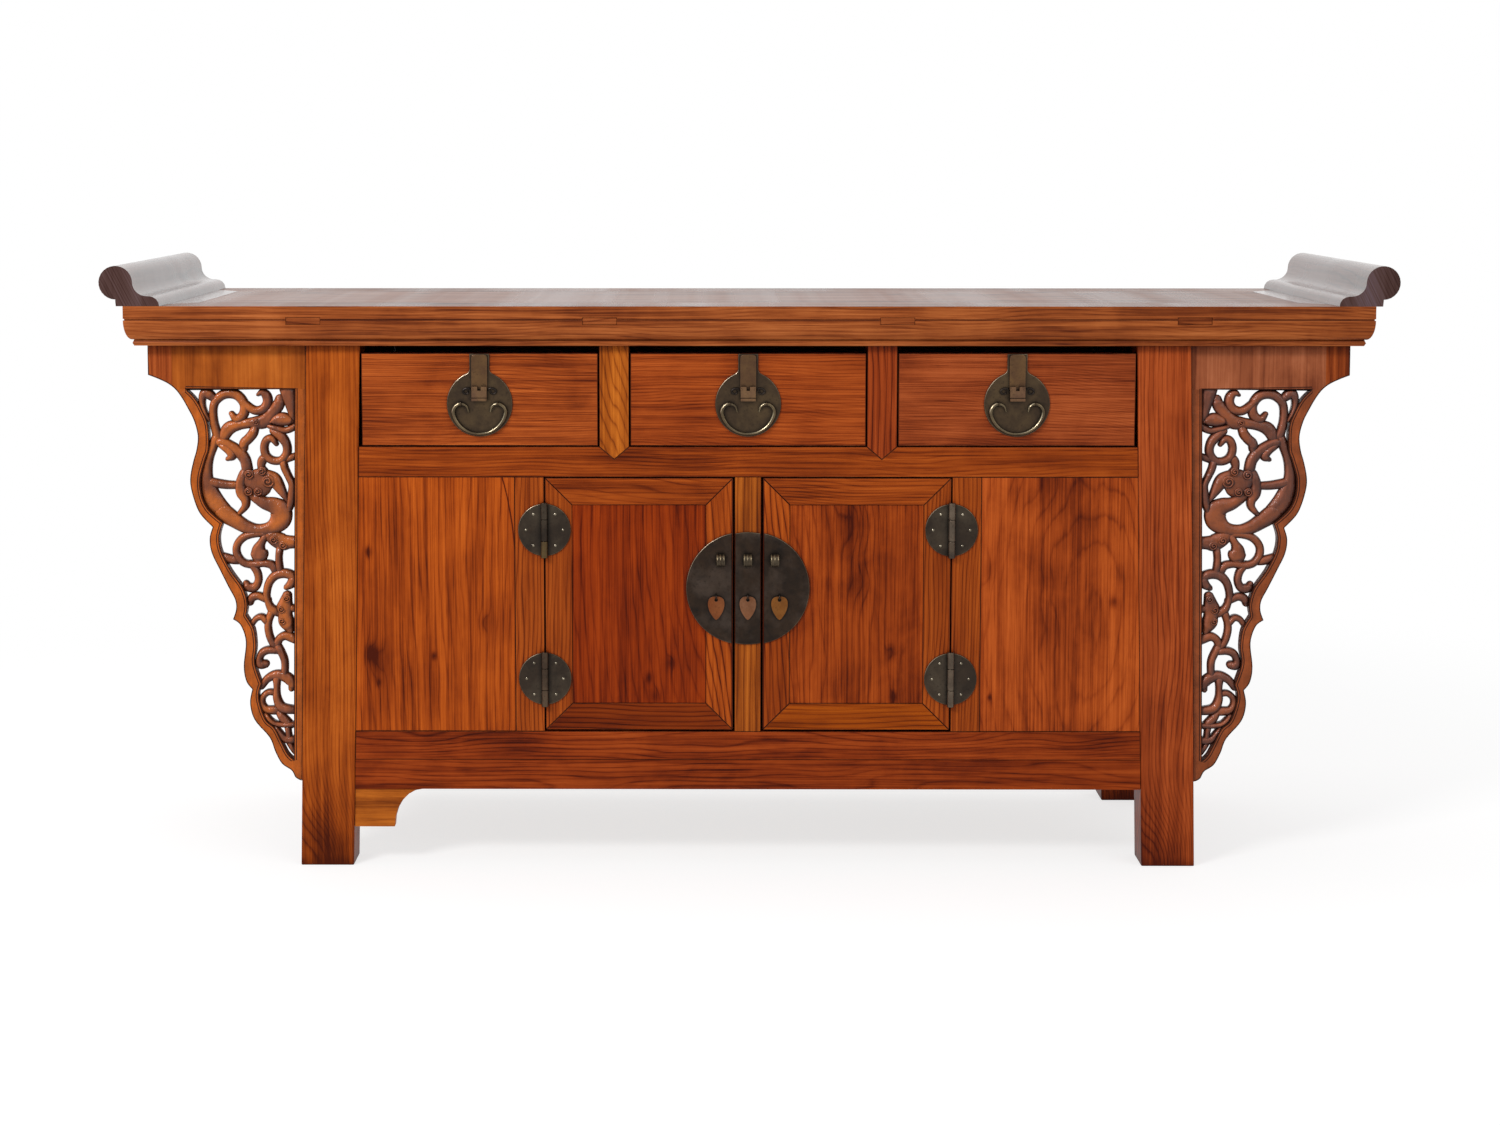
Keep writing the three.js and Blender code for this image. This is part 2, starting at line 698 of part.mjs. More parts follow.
// The board under the drawers, with the strips that guide them
function drawerDeck() {
  const zTop = midRailTop;
  const guideTop = zTop + guideHeight;
  const guideFront = facade + midRailDepth + seamGap;
  const guideBack = backBoardFront - seamGap;
  const legZone = -legBack - seamGap;
  const edge = outerDrawerEdge;
  const middle = block(dividerInner, dividerOuter, guideFront, guideBack, zTop - deckThickness, guideTop);
  const end = block(edge, edge + guideWidth, -legZone, legZone, zTop - deckThickness, guideTop);
  const deck = planPrism(carcassPlan(zTop, midRailDepth), zTop - deckThickness, deckThickness);
  return joined(deck, middle, mirrored(middle), end, mirrored(end));
}

function cabinetFloor() {
  const zTop = bottomRailTop - floorDrop;
  return planPrism(carcassPlan(zTop, bottomRailDepth), zTop - floorThickness, floorThickness);
}

function carcass() {
  add("leg_front_left", leg(-1, facade), frontElm);
  add("leg_front_right", leg(1, facade), frontElm);
  add("leg_rear_left", leg(-1, rear - legDepth), frontElm);
  add("leg_rear_right", leg(1, rear - legDepth), frontElm);
  add("front_mid_rail", midRail(), frontElm);
  const railFrom = apronTop + seamGap;
  add("front_bottom_rail", betweenLegs(railFrom, bottomRailTop, facade, bottomRailDepth), redElm);
  add("front_apron", betweenLegs(apronBottom, apronTop, facade, apronThickness), frontElm);
  add("corner_bracket_left", cornerBracket(), frontElm);
  for (const [word, side] of [["left", -1], ["right", 1]]) {
    add(`divider_${word}`, divider(side), frontElm);
    add(`door_stile_${word}`, doorStile(side), frontElm);
    add(`front_panel_${word}`, frontPanel(side), frontElm);
    add(`side_panel_${word}`, sidePanel(side), frontElm);
  }
  add("back_panel", backPanel(), frontElm);
  add("drawer_deck", drawerDeck(), innerWood);
  add("cabinet_floor", cabinetFloor(), innerWood);
}

// Real place of a point of the drawing, on the right-hand spandrel
const acrossPerPx = spandrelReach / (legEdgePx - outerEndPx);
const downPerPx = spandrelDrop / (spandrelTipPx - spandrelTopPx);
const legLeanShare = (legInnerAtFloor - legInnerAtTop) / topUnderside;
const spandrelTop = topUnderside - seamGap;

function drawn([x, y]) {
  const fromTopPx = y - spandrelTopPx;
  const edgePx = legEdgePx - fromTopPx * legLeanShare;
  const z = spandrelTop - fromTopPx * downPerPx;
  return [legOuter(z) + (edgePx - x) * acrossPerPx, z];
}

function smooth(points, steps) {
  const curve = new THREE.SplineCurve(vectors(points));
  return curve.getPoints((points.length - 1) * steps).map((point) => [point.x, point.y]);
}

// A strand of the carving, thick as its points say, with blunt rounded ends
function strandOutline(strand) {
  const middle = new THREE.CatmullRomCurve3(strand.map(([x, y, width]) => new THREE.Vector3(x, y, width)));
  const points = middle.getPoints((strand.length - 1) * strandSteps);
  const left = [];
  const right = [];
  points.forEach((point, i) => {
    const before = points[Math.max(i - 1, 0)];
    const after = points[Math.min(i + 1, points.length - 1)];
    const along = new THREE.Vector2(after.x - before.x, after.y - before.y).normalize();
    const half = point.z / 2;
    left.push([point.x - along.y * half, point.y + along.x * half]);
    right.push([point.x + along.y * half, point.y - along.x * half]);
  });
  const tipOf = (end, next) => {
    const out = new THREE.Vector2(end.x - next.x, end.y - next.y).setLength(end.z / 2);
    return [end.x + out.x, end.y + out.y];
  };
  const last = points.length - 1;
  return [tipOf(points[0], points[1]), ...left, tipOf(points[last], points[last - 1]), ...right.reverse()];
}

// The head, rim and strip as one frame with an opening, and the carving across the opening
function spandrel(side) {
  const yFront = facade + spandrelSetback;
  const legSide = (z) => [legOuter(z) + seamGap, z];
  const outer = rimOuterPx.flatMap((lobe) => smooth(lobe, rimSteps).slice(0, -1)).map(drawn);
  const inner = rimInnerPx.flatMap((lobe) => smooth(lobe, rimSteps).slice(0, -1)).map(drawn);
  const [outerEnd] = outer[0];
  const tip = spandrelTop - spandrelDrop;
  const outline = [[outerEnd, spandrelTop], ...outer, legSide(tip), legSide(spandrelTop)];
  const opening = [...inner, drawn(rimInnerPx.at(-1).at(-1)), drawn(stripTopPx)];
  const board = frontPrism(outline, yFront, spandrelThickness);
  const hollow = frontPrism(opening, yFront - cutOverrun, spandrelThickness + 2 * cutOverrun);
  const strands = strandsPx.map((strand) => {
    const points = strandOutline(strand).map(drawn);
    return frontPrism(points, yFront, spandrelThickness);
  });
  const endBoard = block(
    outerEnd - endBoardThickness,
    outerEnd,
    yFront,
    -yFront,
    spandrelTop - endBoardHeight,
    spandrelTop,
  );
  const trimmed = cut(joined(cut(board, hollow), ...strands), legClearance());
  return onSide(side, joined(trimmed, endBoard));
}

// All the space on the inner side of a spandrel, where the leg stands
function legClearance() {
  const over = topUnderside + cutOverrun;
  const outline = [
    [0, -cutOverrun],
    [legOuter(-cutOverrun) + seamGap, -cutOverrun],
    [legOuter(over) + seamGap, over],
    [0, over],
  ];
  return frontPrism(outline, facade - cutOverrun, -facade);
}

function spandrels() {
  add("spandrel_left", spandrel(-1), carvedElm);
  add("spandrel_right", spandrel(1), carvedElm);
}

// One drawer: its parts are in a group at the middle of its front's lower edge
function drawer(word, left, right) {
  const width = right - left;
  const height = drawerOpeningHeight - drawerTopGap - drawerBottomGap;
  const place = groupAt((left + right) / 2, facade, midRailTop + drawerBottomGap);
  add(`drawer_front_${word}`, block(-width / 2, width / 2, 0, drawerFrontThickness, 0, height), redElm, place);
  add(`drawer_box_${word}`, drawerBox(width), innerWood, place);
  add(`drawer_plate_${word}`, drawerPlate(height), darkBrass, place);
  add(`drawer_bolt_${word}`, drawerBolt(height), darkBrass, place);
  add(`drawer_bail_${word}`, drawerBail(), darkBrass, place);
}

function drawerBox(width) {
  const half = width / 2 - drawerBoxInset;
  const boxFront = drawerFrontThickness + seamGap;
  const boxBack = backBoardFront - facade - drawerBackRoom;
  const boxBottom = seamGap - drawerBottomGap;
  const boxTop = boxBottom + drawerBoxHeight;
  const wall = drawerBoxWall;
  const hollow = block(
    wall - half,
    half - wall,
    boxFront + wall,
    boxBack - wall,
    boxBottom + drawerBoxBottom,
    boxTop + cutOverrun,
  );
  return cut(block(-half, half, boxFront, boxBack, boxBottom, boxTop), hollow);
}

// The front face of a drawer's back plate, measured from the drawer's face
const plateFace = -seamGap - plateThickness;
const bailAxisDepth = plateFace - bailStandoff - bailWire;

// A disc with a tab up to the drawer's top edge and two eyes for the bail
function drawerPlate(frontHeight) {
  const tabHalf = tabWidth / 2;
  const tabTop = frontHeight - tabTopMargin;
  const disc = arc(0, plateRise, plateRadius, plateRadius, 0, 360, plateSteps).slice(1);
  const shoulder = plateRise + Math.sqrt(plateRadius ** 2 - (tabHalf + tabFlare) ** 2);
  const flare = arc(tabHalf + tabFlare, shoulder + tabFlare, tabFlare, tabFlare, 270, 180, 4);
  const tab = [
    [tabHalf + tabFlare, plateRise],
    ...flare,
    [tabHalf, tabTop],
    [-tabHalf, tabTop],
    ...flare.map(([x, z]) => [-x, z]).reverse(),
    [-tabHalf - tabFlare, plateRise],
  ];
  const eyeX = bailEyeShare * bailHalfWidth;
  const bore = bailWire + bailEyeClearance;
  const rim = bore + bailEyeWall;
  const hole = arc(bailAxisDepth, plateRise, bore, bore, 0, 360, bailEyeSteps).slice(1);
  const nose = arc(bailAxisDepth, plateRise, rim, rim, 270, 90, bailEyeSteps / 2);
  const eyeOutline = [...nose, [-seamGap, plateRise + rim], [-seamGap, plateRise - rim]];
  const eye = sidePrism(eyeOutline, eyeX - bailEyeThickness / 2, bailEyeThickness, [hole]);
  const clear = sidePrism(hole, eyeX - bailEyeThickness, 2 * bailEyeThickness);
  const flat = [disc, tab].map((outline) => frontPrism(outline, plateFace, plateThickness));
  return cut(joined(...flat, eye, mirrored(eye)), clear, mirrored(clear));
}

// A strap that slides up into the top rail, with a slotted and lipped knob below
function drawerBolt(frontHeight) {
  const half = boltWidth / 2;
  const boltTop = frontHeight - boltTopMargin;
  const boltBack = plateFace - runningGap;
  const knobTop = boltTop - boltLength;
  const knobBottom = knobTop - knobHeight;
  const strap = [
    [-half, knobTop - knobLipHeight],
    [half, knobTop - knobLipHeight],
    [half, boltTop - boltCorner],
    [half - boltCorner, boltTop],
    [boltCorner - half, boltTop],
    [-half, boltTop - boltCorner],
  ];
  const knobHalf = knobWidth / 2;
  const lipFront = boltBack - knobDepth - knobLipDepth;
  const slotHalf = knobSlotWidth / 2;
  const knob = joined(
    block(-knobHalf, knobHalf, boltBack - knobDepth, boltBack, knobBottom, knobTop),
    block(-knobHalf, knobHalf, lipFront, boltBack, knobBottom, knobBottom + knobLipHeight),
  );
  const slot = block(
    -slotHalf,
    slotHalf,
    lipFront - cutOverrun,
    boltBack - boltThickness,
    knobTop - knobSlotHeight,
    knobTop + cutOverrun,
  );
  return joined(frontPrism(strap, boltBack - boltThickness, boltThickness), cut(knob, slot));
}

// A crescent handle of round wire whose horns pass through the eyes
function drawerBail() {
  const half = bailPathShares.map(([across, down]) => {
    const z = plateRise - down * bailDrop;
    return new THREE.Vector3(across * bailHalfWidth, bailAxisDepth, z);
  });
  const other = half.slice(1).map((point) => new THREE.Vector3(-point.x, point.y, point.z));
  const path = new THREE.CatmullRomCurve3([...other.reverse(), ...half]);
  const section = new THREE.Shape(vectors(arc(0, 0, bailWire, bailWire, 0, 360, bailSides).slice(1)));
  return new THREE.ExtrudeGeometry(section, { steps: bailSteps, extrudePath: path });
}

// Pockets in the underside of the front rail, where the bolts go in
function cutBoltPockets(drawers) {
  const rail = coffer.getObjectByName("top_front_rail");
  const clear = boltPocketClearance;
  const back = facade + plateFace - runningGap + clear;
  const deep = boltTravel - boltTopMargin - drawerTopGap + clear;
  const pockets = drawers.map(([, left, right]) => {
    const x = (left + right) / 2;
    const half = boltWidth / 2 + clear;
    const front = back - boltThickness - 2 * clear;
    const zTop = topUnderside + deep;
    return block(x - half, x + half, front - topFront, back - topFront, topUnderside - cutOverrun, zTop);
  });
  rail.geometry = cut(rail.geometry, ...pockets);
}

function drawers() {
  const outerInner = dividerOuter + drawerSideGap;
  const centreEdge = dividerInner - drawerSideGap;
  const spans = [
    ["left", -outerDrawerEdge, -outerInner],
    ["centre", -centreEdge, centreEdge],
    ["right", outerInner, outerDrawerEdge],
  ];
  spans.forEach(([word, left, right]) => drawer(word, left, right));
  cutBoltPockets(spans);
}

const doorBottom = bottomRailTop + doorBottomGap;
const doorTop = midRailBottom - doorTopGap;
const doorInner = postWidth / 2 + centreGap;
const doorOuter = doorInner + doorWidth;

function doorFrame(side) {
  const corners = (inset) => [
    [doorInner + inset, doorBottom + inset],
    [doorOuter - inset, doorBottom + inset],
    [doorOuter - inset, doorTop - inset],
    [doorInner + inset, doorTop - inset],
  ];
  return onSide(side, frontPrism(corners(0), facade, doorThickness, [corners(doorMember)]));
}

function doorPanel(side) {
  const inset = doorMember + seamGap;
  const yFront = facade + doorPanelRecess;
  const yBack = yFront + doorPanelThickness;
  const zSpan = [doorBottom + inset, doorTop - inset];
  return onSide(side, block(doorInner + inset, doorOuter - inset, yFront, yBack, ...zSpan));
}

// Hinge axis: over the seam between the door and its stile, in front of them
const hingeAxisX = (doorOuter + doorOpening) / 2;
const hingeAxisY = facade - barrelStandoff - barrelRadius;
const leafBack = facade - seamGap;

// A leaf of the right-hand hinge, on the stile when way is 1 and on the door when way is -1
function hingeLeaf(zCentre, way) {
  const length = 2 * (hingeRadius + barrelOverhang);
  const start = zCentre - length / 2;
  const reach = THREE.MathUtils.radToDeg(Math.acos(leafStart / hingeRadius));
  const halfDisc = arc(0, zCentre, hingeRadius, hingeRadius, -reach, reach, leafSteps);
  const outline = halfDisc.map(([x, z]) => [hingeAxisX + way * x, z]);
  const parts = [frontPrism(outline, leafBack - hingePlate, hingePlate)];
  const ends = knuckleShares.reduce((all, share) => [...all, all.at(-1) + share * length], [start]);
  const ours = way > 0 ? [0, 2] : [1];
  ours.forEach((i) => {
    const bottom = ends[i] + (i > 0 ? knuckleGap / 2 : 0);
    const top = ends[i + 1] - (i < 2 ? knuckleGap / 2 : 0);
    const webBottom = Math.max(bottom, zCentre - hingeRadius + leafStart);
    const webTop = Math.min(top, zCentre + hingeRadius - leafStart);
    const webEnd = hingeAxisX + way * (leafStart + hingePlate);
    const webSpan = [Math.min(hingeAxisX, webEnd), Math.max(hingeAxisX, webEnd)];
    parts.push(rod(hingeAxisX, hingeAxisY, bottom, barrelRadius, top - bottom, barrelSides));
    parts.push(block(...webSpan, leafBack - hingePlate, leafBack, webBottom, webTop));
  });
  if (way > 0) {
    parts.push(rod(hingeAxisX, hingeAxisY, start, hingePinRadius, length, barrelSides));
    return joined(...parts);
  }
  const bore = hingePinRadius + pinClearance;
  return cut(joined(...parts), rod(hingeAxisX, hingeAxisY, start, bore, length, barrelSides));
}

// The pieces of the lock plate: a lug on each, and a wire eye for its pendant
const lockBack = facade - seamGap;
const lockFace = lockBack - lockPlate;
const lockCentreZ = (doorBottom + doorTop) / 2 + lockRise;
const pendantAxisZ = lockCentreZ - pendantDrop;
const pendantMiddleY = lockFace - pendantStandoff - pendantThickness / 2;

function lug(x) {
  const half = lugHeight / 2;
  const z = lockCentreZ + lugRise;
  const holeHalf = lugHole / 2;
  const holeY = lockFace - (lugReach - half) - holeHalf / 2;
  const noseY = lockFace - lugReach + half;
  const nose = arc(noseY, z, half, half, 180 + lugNoseAngle, 180 - lugNoseAngle, lugNoseSteps);
  const outline = [[lockBack, z - half], ...nose, [lockBack, z + half]];
  const hole = [
    [holeY - holeHalf, z - holeHalf],
    [holeY + holeHalf, z - holeHalf],
    [holeY + holeHalf, z + holeHalf],
    [holeY - holeHalf, z + holeHalf],
  ];
  return sidePrism(outline, x - lugWidth / 2, lugWidth, [hole]);
}

// A wire ring across the plate, cut off flush with the plate's back
function pendantEye(x) {
  const ring = new THREE.TorusGeometry(eyeRadius, eyeWire, eyeSides, eyeSteps);
  ring.rotateY(Math.PI / 2).translate(x, pendantMiddleY, pendantAxisZ);
  const reach = eyeRadius + eyeWire + cutOverrun;
  const zSpan = [pendantAxisZ - reach, pendantAxisZ + reach];
  return cut(ring, block(x - reach, x + reach, lockBack - eyeWire / 2, lockBack + reach, ...zSpan));
}

function lockPiece(place) {
  const full = arc(place * lockSpread, lockCentreZ, lockRadius, lockRadius, 0, 360, 2 * lockSteps).slice(1);
  const disc = frontPrism(full, lockFace, lockPlate);
  const low = lockCentreZ - lockRadius - cutOverrun;
  const high = lockCentreZ + lockRadius + cutOverrun;
  const yFront = lockFace - cutOverrun;
  const yBack = lockBack + cutOverrun;
  const far = lockRadius + lockSpread + cutOverrun;
  const sideEdge = doorInner + lockEdgeInset;
  const stripEdge = postWidth / 2 - postPlateMargin;
  const keepOut = place === 0
    ? [block(stripEdge, far, yFront, yBack, low, high), block(-far, -stripEdge, yFront, yBack, low, high)]
    : [onSide(place, block(-far, sideEdge, yFront, yBack, low, high))];
  const plate = cut(disc, ...keepOut);
  return joined(plate, lug(place * lugSpacing), pendantEye(place * pendantSpacing));
}

// A leaf that hangs from its eye: the wire passes through a hole near the leaf's top
function pendant(x) {
  const leafTop = pendantAxisZ + pendantMargin;
  const right = pendantOutlineShares.map(([across, down]) => [
    x + across * pendantWidth,
    leafTop - down * pendantLength,
  ]);
  const left = right.map(([px, z]) => [2 * x - px, z]).reverse();
  const holeZ = pendantAxisZ - eyeRadius;
  const hole = arc(x, holeZ, pendantHoleRadius, pendantHoleRadius, 0, 360, 8).slice(1);
  const outline = [...right, [x, leafTop - pendantLength], ...left];
  return frontPrism(outline, pendantMiddleY - pendantThickness / 2, pendantThickness, [hole]);
}

function cupboardFront() {
  const half = postWidth / 2;
  const post = block(-half, half, facade, facade + postDepth, cupboardBottom, cupboardTop);
  add("centre_post", post, frontElm);
  for (const [word, side] of [["left", -1], ["right", 1]]) {
    add(`door_frame_${word}`, doorFrame(side), frontElm);
    add(`door_panel_${word}`, doorPanel(side), redElm);
    for (const [level, z] of [["upper", doorTop - hingeInset], ["lower", doorBottom + hingeInset]]) {
      add(`hinge_${level}_${word}_stile_leaf`, onSide(side, hingeLeaf(z, 1)), darkBrass);
      add(`hinge_${level}_${word}_door_leaf`, onSide(side, hingeLeaf(z, -1)), darkBrass);
    }
  }
  for (const [word, place] of [["left", -1], ["centre", 0], ["right", 1]]) {
    add(`lock_plate_${word}`, lockPiece(place), darkBrass);
    add(`pendant_${word}`, pendant(place * pendantSpacing), copperBrass);
  }
}

topFrameRails();
topPanel();
add("everted_flange_left", flange(-1), lacquer);
add("everted_flange_right", flange(1), lacquer);
carcass();
spandrels();
cupboardFront();
drawers();

export default coffer;
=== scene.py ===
"""The looks of the altar coffer, in the row frame: +X right, +Y back, +Z up. Sizes are in millimetres
and are turned into metres where a mesh is made. Materials and the studio are in metres."""
import json
import math

import bmesh
import bpy
from mathutils import Matrix, Vector

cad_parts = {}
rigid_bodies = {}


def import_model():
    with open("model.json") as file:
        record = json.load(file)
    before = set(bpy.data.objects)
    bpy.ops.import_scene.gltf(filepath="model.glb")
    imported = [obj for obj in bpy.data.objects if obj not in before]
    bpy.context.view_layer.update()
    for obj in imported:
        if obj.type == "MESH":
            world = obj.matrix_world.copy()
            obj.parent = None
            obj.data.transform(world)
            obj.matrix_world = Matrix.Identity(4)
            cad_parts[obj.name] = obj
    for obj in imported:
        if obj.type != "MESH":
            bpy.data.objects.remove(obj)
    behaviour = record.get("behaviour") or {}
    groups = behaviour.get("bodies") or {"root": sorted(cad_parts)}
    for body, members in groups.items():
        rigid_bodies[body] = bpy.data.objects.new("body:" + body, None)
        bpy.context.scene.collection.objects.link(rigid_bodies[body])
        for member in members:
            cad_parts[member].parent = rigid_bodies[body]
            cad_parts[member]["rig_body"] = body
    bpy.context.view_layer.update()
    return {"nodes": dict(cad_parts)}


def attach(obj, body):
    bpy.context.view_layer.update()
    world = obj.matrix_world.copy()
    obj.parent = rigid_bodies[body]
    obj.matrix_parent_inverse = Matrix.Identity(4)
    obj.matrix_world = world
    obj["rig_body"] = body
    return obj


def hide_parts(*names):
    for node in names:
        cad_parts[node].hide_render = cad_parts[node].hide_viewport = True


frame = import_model()
NODES = frame["nodes"]
MM = 0.001
SIDES = (("left", -1), ("right", 1))
PLACES = (("left", -1), ("centre", 0), ("right", 1))
X, Y, Z = Vector((1, 0, 0)), Vector((0, 1, 0)), Vector((0, 0, 1))

# Sizes of the source that the new pieces follow
FACADE = -222.0
SEAM = 0.3
LEG_FOOT_OUTER = 684.0
LEG_TOP_OUTER = 666.0
TOP_SURFACE = 860.0
TOP_UNDERSIDE = 800.0
TENON_START = 155.0
TENON_TOP = 850.0
PANEL_UNDERSIDE = 845.0
SIDE_RAIL_BOTTOM = 165.0
SIDE_RAIL_TOP = 209.0
SPANDREL_FRONT = -215.0
SPANDREL_DEPTH = 18.0
SPANDREL_REACH = 240.4
SPANDREL_DROP = 669.4
END_BOARD = 16.0
END_BOARD_HEIGHT = 45.5
END_PIECE = 36.0
DOOR_INNER = 22.7
DOOR_OUTER = 307.2
DOOR_BOTTOM = 211.8
DOOR_TOP = 598.4
DOOR_MEMBER = 41.0
DOOR_THICKNESS = 24.0
MITRE_GAP = 0.25

# Finish of every mesh: angles in degrees, lengths in millimetres
SHARP = 32
RIM_SHARP = 40
ROUND_SHARP = 60
FLAT = 0.4
WELD = 0.02
CUT_NEAR = 0.001
WIDE_BEVEL = 2.0
BEVEL_SHAPE = 0.6
PLATE_EDGE = 0.8
THIN_EDGE = 0.5
# How squarely a face has to look one way to count as looking that way
FACING = 0.9
HALF_FACING = 0.5
# How squarely the faces of a plate's rounded front edge look forward
EDGE_LEAN = (0.2, 0.93)

# Drawer hardware, drawn about the middle of the plate's disc
DRAWER_STEP = 404.75
PLATE_BACK = FACADE - SEAM
DISC_Z = 711.2
DISC_RADIUS = 49.5
TAB_HALF = 15.0
TAB_TOP = 75.6
TAB_FLARE = 9.0
PLATE_THICKNESS = 1.8
BOLT_GAP = 0.4
BOLT_BACK = PLATE_BACK - PLATE_THICKNESS - BOLT_GAP
STRAP_THICKNESS = 3.0
STRAP_HALF = [(12, 22), (12, 69.8), (10.5, 73.3), (7, 74.8)]
# The knob on the bolt as boxes: X from and to, Y from the bolt's back, Z, and how far the edges are rounded
KNOB_BOXES = [
    (-11.5, 11.5, -8.0, -1.0, 9.8, 20.8, 0.6),
    (-11.5, -2.5, -8.0, -1.0, 19.8, 26.8, 0.6),
    (2.5, 11.5, -8.0, -1.0, 19.8, 26.8, 0.6),
    (-11.5, 11.5, -9.6, 0.0, 4.8, 9.2, 0.9),
    (-11.0, 11.0, -7.0, -1.0, 7.8, 11.8, 0.4),
    (-11.6, -9.25, -8.7, -6.0, 20.8, 24.4, 0.4),
    (9.25, 11.6, -8.7, -6.0, 20.8, 24.4, 0.4),
]
STAPLE_PATH = [(13, 21.5), (16.5, 23.6), (21, 23.2), (24.8, 20.4), (24.4, 17), (20.6, 15.2), (17, 16.6),
               (17.4, 19.6)]
STAPLE_RADIUS = 1.6
STAPLE_TAPER = 0.6
STAPLE_RISE = 1.1
STAPLE_Y = PLATE_BACK - PLATE_THICKNESS - STAPLE_RISE
BAIL_Y = -227.2
BAIL_HALF = 39.5
BAIL_DROP = 45.0
BAIL_EYE_X = 27.65
BAIL_EYE_RADIUS = 3.45
BAIL_EYE_WIRE = 0.8
# Half of the handle as shares of its half width and drop, and its radius at each point
BAIL_PATH = [(0, 1), (0.24, 0.98), (0.47, 0.91), (0.74, 0.74), (0.93, 0.5), (1, 0.27), (0.93, 0.1),
             (0.8, 0.012), (0.7, 0), (0.6, 0.012), (0.48, 0.09), (0.42, 0.26)]
BAIL_RADII = [1.7, 1.8, 2.1, 2.5, 2.7, 2.75, 2.7, 2.6, 2.5, 2.2, 1.7, 0.9]
BAR_END_ANGLES = (35, 68, 85)

# Round hinges. A knuckle's edge is how far in from its end, and how much thinner
HINGE_X = 308.1
HINGE_Y = -228.0
HINGE_LEVELS = (("upper", 519.4), ("lower", 290.8))
HINGE_RADIUS = 39.8
LEAF_START = 4.2
LEAF_THICKNESS = 1.8
LEAF_EDGE = 0.6
BARREL_RADIUS = 5.5
BARREL_HALF = 42.0
STILE_KNUCKLE_START = 16.8
DOOR_KNUCKLE_HALF = 16.4
KNUCKLE_EDGE = [(0.0, 0.9), (0.3, 0.3), (0.9, 0.0)]
NAIL_PLACES = ((16.5, 24), (28, 0), (16.5, -24))
NAIL_PROFILE = [(0.1, 1.9), (-0.35, 1.75), (-0.7, 1.2), (-0.85, 0.4)]

# Round lock plate in three pieces, its lugs, and the pendants on their wire eyes
LOCK_Z = 430.1
LOCK_RADIUS = 86.0
LOCK_THICKNESS = 2.0
LOCK_FACE = PLATE_BACK - LOCK_THICKNESS
LOCK_SPREAD = 7.5
LOCK_EDGE = 24.6
LOCK_EDGE_BAND = 2.5
STRIP_HALF = 19.0
LUG_X = 41.0
LUG_Z = 44.0
LUG_REACH = 17.0
LUG_HALF = 9.0
LUG_WIDTH = 12.6
LUG_EDGE = 1.0
LUG_HOLE_RADIUS = 4.0
LUG_HOLE_FORWARD = 1.9
LUG_RIB_PLACES = (-0.4, 0, 0.4)
LUG_RIB_RADIUS = 8.2
LUG_RIB_WIRE = 1.5
PENDANT_X = 48.0
PENDANT_Y = -226.3
PENDANT_TOP = 418.7
PENDANT_WIDTH = 26.0
PENDANT_HEIGHT = 37.0
PENDANT_THICKNESS = 1.6
PENDANT_HOLE_DROP = 5.8
PENDANT_HOLE_RADIUS = 2.2
PENDANT_SHARES = [(0.0, 0.0), (0.14, 0.004), (0.31, 0.04), (0.45, 0.14), (0.5, 0.3), (0.48, 0.46),
                  (0.4, 0.64), (0.27, 0.8), (0.12, 0.94), (0.0, 1.0)]
EYE_Z = 417.1
EYE_RADIUS = 4.2
EYE_WIRE = 1.0

# Spandrels: drawn on the pixels of the photograph, like the source's
LEG_EDGE_PX = 309.7
SPANDREL_TOP_PX = 342.8
SPANDREL_TIP_PX = 785.2
OUTER_END_PX = 150.8
LEAN = (LEG_FOOT_OUTER - LEG_TOP_OUTER) / TOP_UNDERSIDE
ACROSS = SPANDREL_REACH / (LEG_EDGE_PX - OUTER_END_PX)
DOWN = SPANDREL_DROP / (SPANDREL_TIP_PX - SPANDREL_TOP_PX)
PIXEL = (ACROSS + DOWN) / 2
SPANDREL_TOP = TOP_UNDERSIDE - SEAM
SPANDREL_EDGE = 1.8
# A strand: its points per stretch, its sides, its fullness against the drawn width, how far it ends before
# the board's back and starts behind its front, the dip of its ends and over how many points, how round it is
# in front and behind, and its ends
STRAND_STEPS = 6
STRAND_SIDES = 14
FULLNESS = 1.16
STRAND_SHORT = 0.6
STRAND_BACK = SPANDREL_FRONT + SPANDREL_DEPTH - STRAND_SHORT
LEAST_LIFT = 0.2
LIFT_RANGE = 2.6
LIFT_STEP = 0.618
DIP = 2.2
DIP_POINTS = 3
FRONT_POWER = 0.95
BACK_POWER = 0.45
STRAND_END_ANGLES = (30, 60, 84)
STRAND_END_DEPTH = 0.45
# A curl: its boss as (distance back, share of the radius), and its spiral's turn in degrees, distance from
# the middle and thickness, at the start and the end, as shares of the radius
CURL_PROUD = 1.8
CURL_PROFILE = [(9, 1), (4.4, 1), (3.6, 0.94), (3.0, 0.8), (2.8, 0.1)]
CURL_STEPS = 30
CURL_TURN = (200, 668)
CURL_AWAY = (0.84, 0.14)
CURL_WIRE = (0.16, 0.22)
CURL_SUNK = 0.22
# Painted shade: dark lines laid on the board round the carving, for the shade in its grooves and along its
# outer edge: from and to, measured outwards from the opening's edge or the board's own
GROOVE_DEPTH = 0.3
GROOVE_PROUD = 0.05
GROOVE_EDGE = 0.02
OPENING_GROOVES = ((4.6, 3.0), (1.4, 0.0))
BOARD_GROOVE = (0.0, -1.5)

